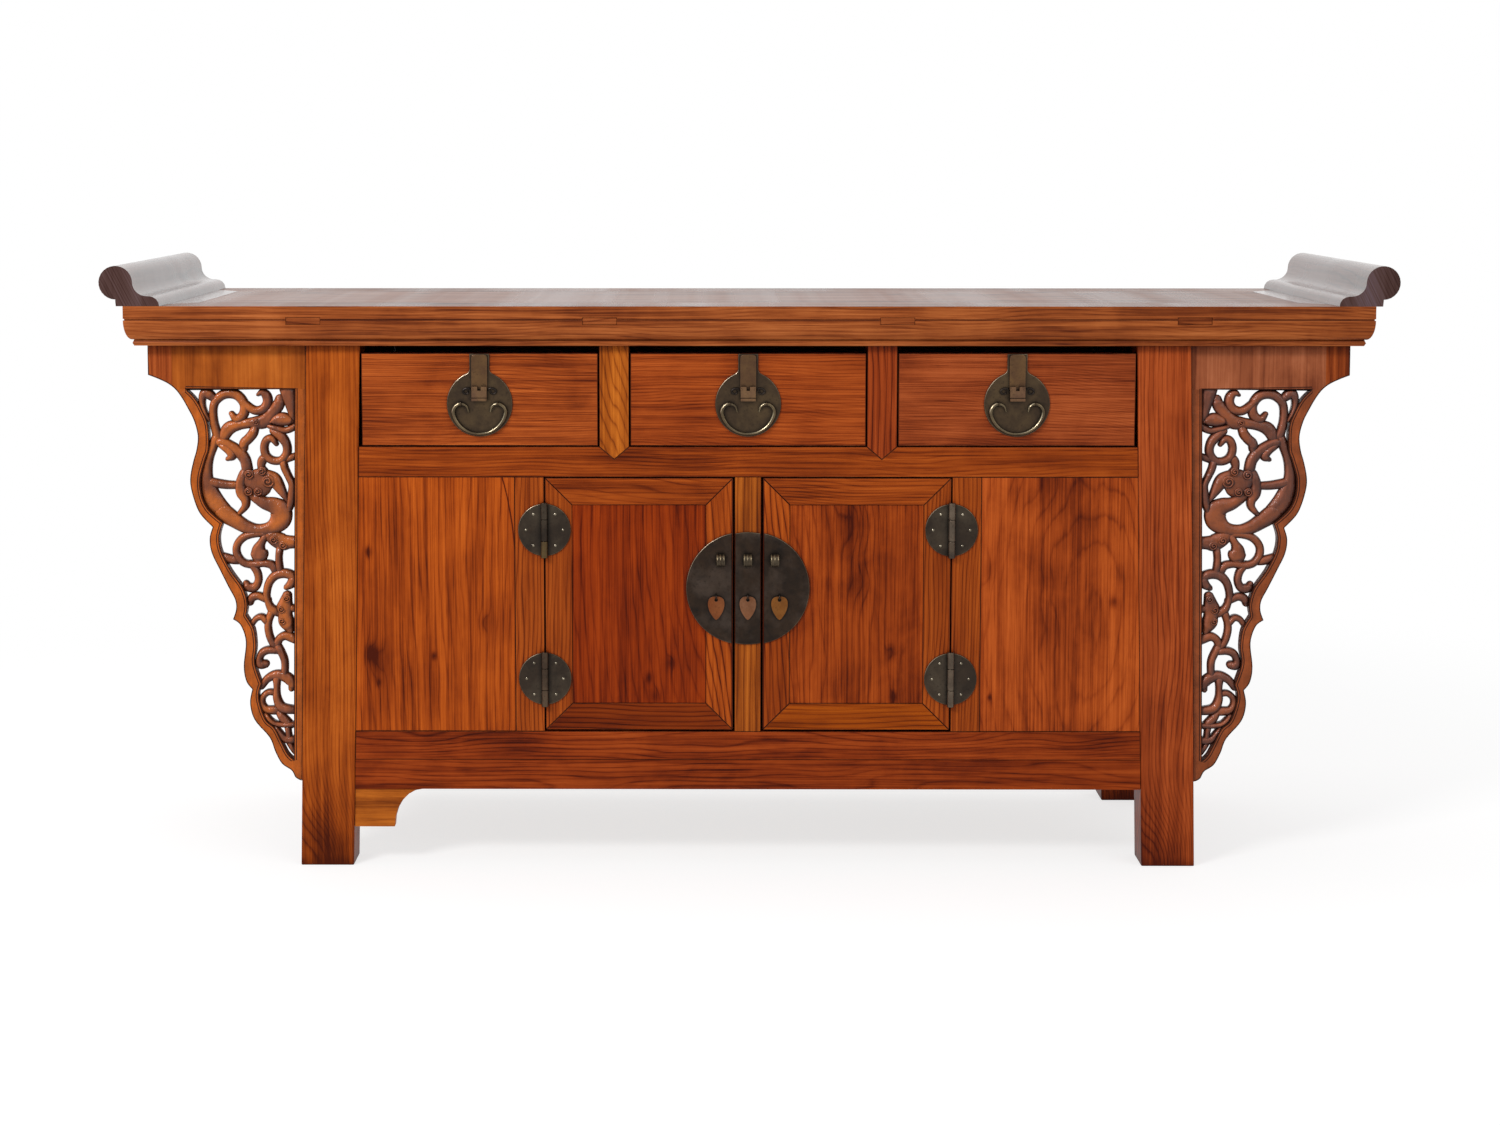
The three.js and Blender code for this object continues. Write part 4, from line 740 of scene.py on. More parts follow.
# Metals: the colour, where it is worn, its patina, and where they differ its roughness, its wear and the
# colour of its painted highlight on faces turned to the key light
METALS = {
    "dark_brass": ((68, 53, 36), (98, 79, 52), (45, 34, 25)),
    "black_brass": ((34, 26, 22), (60, 50, 40), (24, 18, 16)),
    "lock_brass": ((50, 36, 25), (74, 62, 54), (26, 19, 14), 0.4, 0.6),
    "lug_brass": ((72, 60, 44), (118, 106, 84), (44, 35, 27), 0.44, 0.8, (134, 120, 94)),
    "strap_brass": ((94, 68, 42), (116, 88, 52), (72, 49, 34)),
    "bolt_brass": ((106, 77, 56), (142, 110, 70), (80, 57, 43), 0.36),
    "bail_brass": ((98, 84, 60), (134, 118, 90), (62, 52, 40), 0.24, 0.5, (196, 182, 152)),
    "hinge_brass": ((54, 43, 33), (82, 72, 58), (37, 30, 24), 0.34),
    "knuckle_brass": ((94, 76, 44), (124, 104, 64), (64, 50, 34), 0.32),
    "knuckle_brown": ((72, 56, 42), (96, 78, 60), (50, 39, 30), 0.32),
    "knuckle_grey": ((88, 74, 60), (120, 106, 90), (58, 49, 42), 0.3),
    "nail_brass": ((128, 118, 100), (190, 178, 154), (84, 74, 60), 0.3, 0.5, (214, 204, 184)),
    # Wear and a painted highlight: the rounded edges of the plates, lighter toward the key light
    "worn_edge_and_highlight": ((86, 72, 56), (120, 104, 80), (62, 50, 40), 0.26, 0.8, (204, 186, 160)),
    "pendant_copper_left": ((122, 64, 28), (146, 88, 50), (94, 50, 24)),
    "pendant_copper_centre": ((112, 66, 36), (146, 106, 80), (88, 52, 30)),
    "pendant_copper_right": ((124, 74, 26), (152, 102, 48), (94, 56, 22)),
}
LOOKS = {name: wood(name, *values, **WOOD_DETAILS.get(name, {})) for name, values in WOODS.items()}
LOOKS.update({name: carved(name, *values, **more) for name, (*values, more) in CARVINGS.items()})
LOOKS.update({name: metal(name, *values) for name, values in METALS.items()})


def finished(name, mesh, body, materials, nodes):
    """A mesh as a named piece of a body, in place of the CAD nodes that it keeps the room of."""
    thing = bpy.data.objects.new(name, mesh)
    bpy.context.scene.collection.objects.link(thing)
    for material in materials:
        mesh.materials.append(LOOKS[material])
    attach(thing, body)
    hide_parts(*nodes)
    modifier = thing.modifiers.new("even_shading", "WEIGHTED_NORMAL")
    modifier.keep_sharp = True
    return thing


def smooth_by_angle(bm, degrees):
    limit = math.radians(degrees)
    for face in bm.faces:
        face.smooth = True
    for edge in bm.edges:
        edge.smooth = len(edge.link_faces) == 2 and edge.calc_face_angle(0) < limit


def into_mesh(bm, name):
    mesh = bpy.data.meshes.new(name + "_mesh")
    bm.to_mesh(mesh)
    bm.free()
    return mesh


def refined(node, bevel, material, edge=None, others=()):
    """The node's own solid with rounded edges and a finished material. The rounded edges take the material
    edge. others are (material, test) pairs, where test says from a face's centre and normal, in millimetres,
    whether it takes that material."""
    bm = bmesh.new()
    bm.from_mesh(NODES[node].data)
    bmesh.ops.remove_doubles(bm, verts=bm.verts, dist=WELD * MM)
    bmesh.ops.dissolve_limit(bm, angle_limit=math.radians(FLAT), verts=bm.verts, edges=bm.edges)
    box = [(min(v.co[axis] for v in bm.verts), max(v.co[axis] for v in bm.verts)) for axis in range(3)]
    limit = math.radians(SHARP)
    edges = [e for e in bm.edges if len(e.link_faces) == 2 and abs(e.calc_face_angle(0)) > limit]
    rounded = bmesh.ops.bevel(bm, geom=edges, offset=bevel * MM, segments=3 if bevel > WIDE_BEVEL else 2,
                              profile=BEVEL_SHAPE, affect="EDGES", clamp_overlap=True)
    for vert in bm.verts:
        vert.co = [min(max(value, low), high) for value, (low, high) in zip(vert.co, box)]
    if edge:
        for face in rounded["faces"]:
            face.material_index = len(others) + 1
    for face in bm.faces:
        centre = face.calc_center_median() / MM
        for place, (_, test) in enumerate(others):
            if test(centre, face.normal):
                face.material_index = place + 1
    smooth_by_angle(bm, SHARP)
    materials = [material, *[other for other, _ in others], *([edge] if edge else [])]
    finished(node + "_dressed", into_mesh(bm, node), NODES[node]["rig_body"], materials, (node,))


def mark_edges(mesh, picked):
    """Gives the rounded edge round a plate's front, whose faces lean forward, the second material where
    picked says so of a face's centre in millimetres. That material is wear and a painted highlight on the
    metal plates, grime and painted shade on the door frames, lighter brass on the strap, and a painted
    shadow outline on the pendants."""
    least, most = EDGE_LEAN
    for polygon in mesh.polygons:
        if least < -polygon.normal.y < most and picked(polygon.center / MM):
            polygon.material_index = 1


def merged(parts):
    """Several (points, faces) lists as one."""
    points, faces = [], []
    for more_points, more_faces in parts:
        start = len(points)
        points.extend(more_points)
        faces.extend(tuple(start + i for i in face) for face in more_faces)
    return points, faces


def moved(part, x=0.0, z=0.0, mirror=False):
    points, faces = part
    way = -1 if mirror else 1
    return [(way * px + x, py, pz + z) for px, py, pz in points], faces


def piece(name, parts, body, materials, nodes, sharp=SHARP, picked=None):
    """Parts made into one piece that takes the place of the given nodes."""
    points, faces = merged(parts)
    bm = bmesh.new()
    verts = [bm.verts.new(Vector(point) * MM) for point in points]
    for face in faces:
        bm.faces.new([verts[i] for i in face])
    bmesh.ops.recalc_face_normals(bm, faces=bm.faces)
    smooth_by_angle(bm, sharp)
    mesh = into_mesh(bm, name)
    if picked:
        mark_edges(mesh, picked)
    return finished(name, mesh, body, materials, nodes)


def everywhere(centre):
    return True


def on_disc(centre):
    return math.hypot(centre.x, centre.z - LOCK_Z) > LOCK_RADIUS - LOCK_EDGE_BAND


def loft(rings, closed=False):
    """Points and faces of a skin over rings of equal counts, capped at both ends unless it is closed."""
    count = len(rings[0])
    points = [point for ring in rings for point in ring]
    faces = []
    last = len(rings) if closed else len(rings) - 1
    for i in range(last):
        here, there = i * count, ((i + 1) % len(rings)) * count
        for k in range(count):
            after = (k + 1) % count
            faces.append((here + k, here + after, there + after, there + k))
    if not closed:
        faces.append(tuple(range(count))[::-1])
        faces.append(tuple(range(len(points) - count, len(points))))
    return points, faces


def circle(centre, first, second, radius, sides):
    """Points round a centre, in the plane of two directions."""
    angles = [2 * math.pi * k / sides for k in range(sides)]
    return [tuple(Vector(centre) + first * radius * math.cos(angle) + second * radius * math.sin(angle))
            for angle in angles]


def turned(profile, centre, sides, axis=Y):
    """A round form about an axis, Y or Z, through centre. profile is (distance along it, radius) pairs."""
    second = Z if axis is Y else Y
    return loft([circle(Vector(centre) + axis * along, X, second, radius, sides)
                 for along, radius in profile])


def ring(centre, radius, wire, steps=28, sides=10):
    """A wire ring about an axis along X through its centre."""
    rings = []
    for i in range(steps):
        turn = 2 * math.pi * i / steps
        out = Y * math.cos(turn) + Z * math.sin(turn)
        rings.append(circle(Vector(centre) + out * radius, out, X, wire, sides))
    return loft(rings, closed=True)


def middle_of(loop):
    return sum((Vector(point) for point in loop), Vector()) / len(loop)


def rounded_bar(rings, radii, angles, end_depth=0.0):
    """A bar along rings, with its ends rounded off over some angles. end_depth is the share of the bar's
    depth that is left at its very ends."""
    ends = []
    for end, inner in ((0, 1), (-1, -2)):
        tip = middle_of(rings[end])
        away = tip - middle_of(rings[inner])
        away.y = 0
        away.normalize()
        caps = []
        for angle in angles:
            out = away * radii[end] * math.sin(math.radians(angle))
            narrow = math.cos(math.radians(angle))
            shrink = Vector((narrow, end_depth + (1 - end_depth) * narrow, narrow))
            caps.append([tuple(tip + out + (Vector(point) - tip) * shrink) for point in rings[end]])
        ends.append(caps)
    return loft(ends[0][::-1] + rings + ends[1])


def tube(path, radii, sides):
    """A round bar along a path in the XZ plane, with rounded ends."""
    rings = []
    for i, (point, radius) in enumerate(zip(path, radii)):
        before, after = Vector(path[max(i - 1, 0)]), Vector(path[min(i + 1, len(path) - 1)])
        out = (after - before).normalized().cross(Y).normalized()
        rings.append(circle(point, out, Y, radius, sides))
    return rounded_bar(rings, radii, BAR_END_ANGLES)


def catmull(points, steps):
    """A smooth path through points of any dimension."""
    path = []
    for i in range(len(points) - 1):
        p0, p1 = points[max(i - 1, 0)], points[i]
        p2, p3 = points[i + 1], points[min(i + 2, len(points) - 1)]
        for k in range(steps):
            t = k / steps
            path.append(tuple(
                0.5 * (2 * b + (c - a) * t + (2 * a - 5 * b + 4 * c - d) * t * t
                       + (3 * b - a - 3 * c + d) * t ** 3)
                for a, b, c, d in zip(p0, p1, p2, p3)
            ))
    path.append(tuple(points[-1]))
    return path


def arc(x, y, radius, start, end, steps):
    angles = [math.radians(start + (end - start) * i / steps) for i in range(steps + 1)]
    return [(x + radius * math.cos(a), y + radius * math.sin(a)) for a in angles]


def hole(x, y, radius, steps):
    return arc(x, y, radius, 0, 360, steps)[1:]


def mirrored(outline):
    return [(-x, z) for x, z in outline[::-1]]


def plate(outlines, front, thickness, bevel, sideways=False):
    """A flat piece with rounded edges, from closed outlines of which the later ones are holes. It is drawn
    in X and Z and goes back from front, or sideways it is drawn in Y and Z and goes right from front."""
    curve = bpy.data.curves.new("outline", "CURVE")
    curve.dimensions = "2D"
    curve.fill_mode = "BOTH"
    curve.extrude = (thickness / 2 - bevel) * MM
    curve.bevel_depth = bevel * MM
    curve.bevel_resolution = 1
    curve.offset = -bevel * MM
    for outline in outlines:
        spline = curve.splines.new("POLY")
        spline.points.add(len(outline) - 1)
        for point, (x, y) in zip(spline.points, outline):
            point.co = (x * MM, y * MM, 0, 1)
        spline.use_cyclic_u = True
    drawing = bpy.data.objects.new("outline", curve)
    bpy.context.scene.collection.objects.link(drawing)
    shown = drawing.evaluated_get(bpy.context.evaluated_depsgraph_get())
    mesh = bpy.data.meshes.new_from_object(shown)
    bpy.data.objects.remove(drawing)
    middle = front + thickness / 2
    if sideways:
        points = [(middle + v.co.z / MM, v.co.x / MM, v.co.y / MM) for v in mesh.vertices]
    else:
        points = [(v.co.x / MM, middle - v.co.z / MM, v.co.y / MM) for v in mesh.vertices]
    faces = [tuple(p.vertices) for p in mesh.polygons]
    bpy.data.meshes.remove(mesh)
    return points, faces


def block(x0, x1, y0, y1, z0, z1, rounding):
    """A box whose edges are rounded off."""
    bm = bmesh.new()
    bmesh.ops.create_cube(bm, size=1)
    size, centre = Vector((x1 - x0, y1 - y0, z1 - z0)), Vector((x0 + x1, y0 + y1, z0 + z1)) / 2
    bmesh.ops.transform(bm, matrix=Matrix.Translation(centre) @ Matrix.Diagonal((*size, 1)), verts=bm.verts)
    bmesh.ops.bevel(bm, geom=bm.edges[:], offset=rounding, segments=2, profile=BEVEL_SHAPE, affect="EDGES")
    bm.verts.index_update()
    points = [tuple(v.co) for v in bm.verts]
    faces = [tuple(v.index for v in f.verts) for f in bm.faces]
    bm.free()
    return points, faces


# The woodwork, each piece with its own grain: node, rounding of its edges, its material, the material of
# its rounded edges, and others of some of its faces
LACQUERED = [("lacquered_elm", lambda c, n: n.z > FACING)]
PANEL_FACES = [
    ("tenon_end_grain", lambda c, n: abs(c.y) > TENON_START and c.z < TENON_TOP),
    ("back_elm", lambda c, n: c.z < PANEL_UNDERSIDE),
]
FLANGE_FACES = [
    ("moulding_elm", lambda c, n: c.z < TOP_SURFACE + WELD and n.z < FACING),
    ("end_grain", lambda c, n: abs(n.y) > FACING),
]
RAIL_FACES = [("rail_elm", lambda c, n: SIDE_RAIL_BOTTOM < c.z < SIDE_RAIL_TOP and abs(n.x) > HALF_FACING)]
WOODWORK = []
for word, _ in SIDES:
    WOODWORK += [
        (f"leg_front_{word}", 2.2, f"leg_elm_{word}"),
        (f"leg_rear_{word}", 2.2, f"leg_elm_{word}"),
        (f"divider_{word}", 0.9, f"divider_elm_{word}", "edge_grime"),
        (f"door_stile_{word}", 0.7, "stile_elm", "edge_grime"),
        (f"front_panel_{word}", 0.7, f"panel_elm_{word}", "edge_grime"),
        (f"side_panel_{word}", 1.0, "side_elm", None, RAIL_FACES),
        (f"door_panel_{word}", 0.5, f"door_panel_elm_{word}"),
        (f"everted_flange_{word}", 1.0, "flange_lacquer", None, FLANGE_FACES),
    ]
WOODWORK += [
    ("top_front_rail", 0.8, "moulding_elm", None, LACQUERED),
    ("top_rear_rail", 0.8, "moulding_elm", None, LACQUERED),
    ("top_panel", 0.6, "lacquered_elm", None, PANEL_FACES),
    ("front_mid_rail", 0.9, "rail_elm", "edge_grime"),
    ("front_bottom_rail", 0.8, "low_rail_elm", "edge_grime"),
    ("front_apron", 1.0, "low_rail_elm"),
    ("corner_bracket_left", 1.0, "bracket_elm"),
    ("centre_post", 1.0, "post_elm"),
    ("back_panel", 1.0, "back_elm"),
    ("drawer_deck", 0.8, "inner_wood"),
    ("cabinet_floor", 0.8, "inner_wood"),
]
for word, _ in PLACES:
    WOODWORK += [
        (f"drawer_front_{word}", 1.2, f"drawer_elm_{word}", "edge_grime"),
        (f"drawer_box_{word}", 0.8, "inner_wood"),
    ]
for board in WOODWORK:
    refined(*board)


def door_members(word):
    """The mitred members of a door's frame, as (place, outline, material), drawn for the right-hand door."""
    m, g = DOOR_MEMBER, MITRE_GAP
    x0, x1, z0, z1 = DOOR_INNER, DOOR_OUTER, DOOR_BOTTOM, DOOR_TOP
    for place, z, way, material in (("bottom", z0, 1, f"door_rail_elm_{word}"), ("top", z1, -1, "rail_elm")):
        inner = z + way * m
        yield place, [(x0 + g, z), (x1 - g, z), (x1 - m - g, inner), (x0 + m + g, inner)], material
    for place, x, way, material in (("inner", x0, 1, "door_stile_elm"), ("outer", x1, -1, "stile_elm")):
        inner = x + way * m
        yield place, [(x, z0 + g), (x, z1 - g), (inner, z1 - m - g), (inner, z0 + m + g)], material


for word, side in SIDES:
    for place, outline, material in door_members(word):
        member = moved(plate([outline], FACADE, DOOR_THICKNESS, PLATE_EDGE), mirror=side < 0)
        # The rounded front edges take grime and painted shade
        piece(f"door_{word}_{place}_member", [member], f"door_{word}", [material, "edge_grime"],
              (f"door_frame_{word}",), picked=everywhere)


def plate_outline():
    """The round back plate of a drawer with its tab, about the middle of the disc."""
    shoulder_x = TAB_HALF + TAB_FLARE
    shoulder = math.sqrt((DISC_RADIUS + TAB_FLARE) ** 2 - shoulder_x ** 2)
    touch = math.degrees(math.atan2(shoulder, shoulder_x))
    disc = arc(0, 0, DISC_RADIUS, 180 - touch, 360 + touch, DISC_STEPS)
    flare = arc(shoulder_x, shoulder, TAB_FLARE, 180 + touch, 180, FLARE_STEPS)[1:]
    return disc + flare + [(TAB_HALF, TAB_TOP), (-TAB_HALF, TAB_TOP)] + mirrored(flare)


def staple():
    """The curled end of a staple's wire, flat on the plate."""
    path = catmull([(x, STAPLE_Y, z) for x, z in STAPLE_PATH], STAPLE_STEPS)
    radii = [STAPLE_RADIUS - STAPLE_TAPER * i / len(path) for i in range(len(path))]
    return tube(path, radii, WIRE_SIDES)


def knob():
    return [block(x0, x1, BOLT_BACK + y0, BOLT_BACK + y1, z0, z1, rounding)
            for x0, x1, y0, y1, z0, z1, rounding in KNOB_BOXES]


def bail():
    half = [(x * BAIL_HALF, BAIL_Y, -z * BAIL_DROP, radius) for (x, z), radius in zip(BAIL_PATH, BAIL_RADII)]
    smooth = catmull([(-x, y, z, radius) for x, y, z, radius in half[::-1]] + half[1:], BAIL_STEPS)
    return tube([point[:3] for point in smooth], [point[3] for point in smooth], BAIL_SIDES)


for word, place in PLACES:
    back = plate([plate_outline()], PLATE_BACK - PLATE_THICKNESS, PLATE_THICKNESS, PLATE_EDGE)
    strap_front = BOLT_BACK - STRAP_THICKNESS
    strap = plate([STRAP_HALF + mirrored(STRAP_HALF)], strap_front, STRAP_THICKNESS, THIN_EDGE)
    eyes = [ring((x, BAIL_Y, 0), BAIL_EYE_RADIUS, BAIL_EYE_WIRE) for x in (BAIL_EYE_X, -BAIL_EYE_X)]
    staples = [staple(), moved(staple(), mirror=True)]
    for name, parts, kind, node, materials, sharp in (
            ("drawer_back_plate", [back], "drawer", "drawer_plate", ["dark_brass", "worn_edge_and_highlight"], SHARP),
            ("drawer_eyes", eyes, "drawer", "drawer_plate", ["dark_brass"], SHARP),
            ("drawer_staples", staples, "drawer", "drawer_plate", ["black_brass"], SHARP),
            ("bolt_strap", [strap], "bolt", "drawer_bolt", ["strap_brass", "bolt_brass"], SHARP),
            ("bolt_knob", knob(), "bolt", "drawer_bolt", ["bolt_brass"], SHARP),
            ("bail_handle", [bail()], "bail", "drawer_bail", ["bail_brass"], ROUND_SHARP)):
        parts = [moved(part, place * DRAWER_STEP, DISC_Z) for part in parts]
        picked = everywhere if len(materials) > 1 else None
        piece(f"{name}_{word}", parts, f"{kind}_{word}", materials, (f"{node}_{word}",), sharp=sharp,
              picked=picked)


def knuckle_brass(side, level, high):
    """The knuckles are worn differently: grey at the right, brown and brassy at the left."""
    if side > 0:
        return "knuckle_grey"
    if level == "lower":
        return "knuckle_brown"
    return "knuckle_brass" if high < 0 else "hinge_brass"


def hinge_half(side, word, level, z, part, way, body):
    """One leaf of a hinge with its knuckles and nails."""
    label, nodes = f"hinge_{level}_{word}_{part}", (f"hinge_{level}_{word}_{part}_leaf",)
    toward = side * way
    reach = math.degrees(math.acos(LEAF_START / HINGE_RADIUS))
    half = arc(0, z, HINGE_RADIUS, -reach, reach, LEAF_STEPS)
    face = PLATE_BACK - LEAF_THICKNESS
    leaf = plate([[(side * HINGE_X + toward * px, pz) for px, pz in half]], face, LEAF_THICKNESS, LEAF_EDGE)
    piece(label + "_plate", [leaf], body, ["hinge_brass", "worn_edge_and_highlight"], nodes, picked=everywhere)
    if part == "stile":
        spans = [(-BARREL_HALF, -STILE_KNUCKLE_START), (STILE_KNUCKLE_START, BARREL_HALF)]
    else:
        spans = [(-DOOR_KNUCKLE_HALF, DOOR_KNUCKLE_HALF)]
    for number, (low, high) in enumerate(spans):
        profile = [(low + inwards, BARREL_RADIUS - less) for inwards, less in KNUCKLE_EDGE]
        profile += [(high - inwards, BARREL_RADIUS - less) for inwards, less in KNUCKLE_EDGE[::-1]]
        knuckle = turned(profile, (side * HINGE_X, HINGE_Y, z), BARREL_SIDES, Z)
        piece(f"{label}_knuckle_{number}", [knuckle], body, [knuckle_brass(side, level, high)], nodes)
    nails = [turned(NAIL_PROFILE, (side * HINGE_X + toward * px, face, z + pz), NAIL_SIDES)
             for px, pz in NAIL_PLACES]
    piece(label + "_nails", nails, body, ["nail_brass"], nodes)


for word, side in SIDES:
    for level, z in HINGE_LEVELS:
        hinge_half(side, word, level, z, "stile", 1, "carcass")
        hinge_half(side, word, level, z, "door", -1, f"door_{word}")


def lug(x):
    y, z = LOCK_FACE - LUG_REACH + LUG_HALF, LOCK_Z + LUG_Z
    nose = arc(y, z, LUG_HALF, 270, 90, LUG_STEPS)
    outline = [(PLATE_BACK, z - LUG_HALF), *nose, (PLATE_BACK, z + LUG_HALF)]
    opening = hole(y - LUG_HOLE_FORWARD, z, LUG_HOLE_RADIUS, LUG_STEPS)
    loop = plate([outline, opening], x - LUG_WIDTH / 2, LUG_WIDTH, LUG_EDGE, sideways=True)
    ribs = [ring((x + share * LUG_WIDTH, y, z), LUG_RIB_RADIUS, LUG_RIB_WIRE) for share in LUG_RIB_PLACES]
    return [loop, *ribs]


def lock_outline(place):
    """The middle strip of the lock plate, or the part of it on one door."""
    if place == 0:
        lean = math.degrees(math.acos(STRIP_HALF / LOCK_RADIUS))
        return (arc(0, LOCK_Z, LOCK_RADIUS, lean, 180 - lean, STRIP_STEPS)
                + arc(0, LOCK_Z, LOCK_RADIUS, 180 + lean, 360 - lean, STRIP_STEPS))
    reach = math.degrees(math.acos((LOCK_EDGE - LOCK_SPREAD) / LOCK_RADIUS))
    edge = arc(LOCK_SPREAD, LOCK_Z, LOCK_RADIUS, -reach, reach, LOCK_STEPS)
    return [(place * x, z) for x, z in edge]


def pendant(x):
    half = [(across * PENDANT_WIDTH, -down * PENDANT_HEIGHT) for across, down in PENDANT_SHARES]
    right = catmull(half, PENDANT_STEPS)
    leaf = [(x + px, PENDANT_TOP + pz) for px, pz in right[:-1] + mirrored(right)[:-1]]
    opening = hole(x, PENDANT_TOP - PENDANT_HOLE_DROP, PENDANT_HOLE_RADIUS, PENDANT_HOLE_STEPS)
    return plate([leaf, opening], PENDANT_Y - PENDANT_THICKNESS / 2, PENDANT_THICKNESS, THIN_EDGE)


for word, place in PLACES:
    body = f"door_{word}" if place else "post"
    nodes = (f"lock_plate_{word}",)
    flat = plate([lock_outline(place)], LOCK_FACE, LOCK_THICKNESS, PLATE_EDGE)
    eye = ring((place * PENDANT_X, PENDANT_Y, EYE_Z), EYE_RADIUS, EYE_WIRE)
    piece(f"lock_disc_{word}", [flat], body, ["lock_brass", "worn_edge_and_highlight"], nodes, picked=on_disc)
    piece(f"lock_lug_{word}", lug(place * LUG_X), body, ["lug_brass"], nodes)
    piece(f"pendant_eye_{word}", [eye], body, ["black_brass"], nodes)
    # The pendant's rounded edge is black brass, a painted shadow outline round it
    piece(f"pendant_leaf_{word}", [pendant(place * PENDANT_X)], f"pendant_{word}",
          [f"pendant_copper_{word}", "black_brass"], (f"pendant_{word}",), picked=everywhere)


# Edges of the left spandrel and of its opening, in pixels of the photograph, lobe by lobe
RIM_OUTER = [
    [[150.8, 373], [160.2, 376.6], [170.7, 381.7], [178.4, 388], [184.7, 396.8], [190.3, 407], [196, 419],
     [199.5, 434], [198, 448], [194.6, 459.6], [191.5, 474], [191.6, 486], [196, 503], [201.6, 514.4],
     [212.8, 526.3]],
    [[212.8, 526.3], [209.6, 538], [211.4, 552.3], [219, 569], [227.9, 587.4], [234.2, 600], [235, 610],
     [231.7, 620]],
    [[231.7, 620], [239.4, 626.3], [244.3, 643], [241.8, 667.3], [244, 683], [250, 691.5]],
    [[250, 691.5], [247.6, 706], [252, 723], [266.8, 741], [272.4, 755.7], [279, 768], [288.5, 774.8],
     [292.5, 782], [297.7, 785.2]],
]
RIM_INNER = [
    [[188.2, 387.2], [197.4, 396.5], [204.4, 409], [209.8, 424], [210, 447], [206.5, 458], [201.2, 477],
     [202.3, 494.7], [209, 509], [223.3, 522]],
    [[223.3, 522], [219.2, 536], [221, 551], [230, 570], [242, 588], [246.4, 604], [245, 616]],
    [[245, 616], [252.6, 630], [254.6, 648], [253, 665], [259.4, 686]],
    [[259.4, 686], [256.3, 700], [262.6, 722], [272, 731.5], [279.5, 747], [285, 758], [291, 764]],
]
STRIP_TOP = [297.2, 387.2]
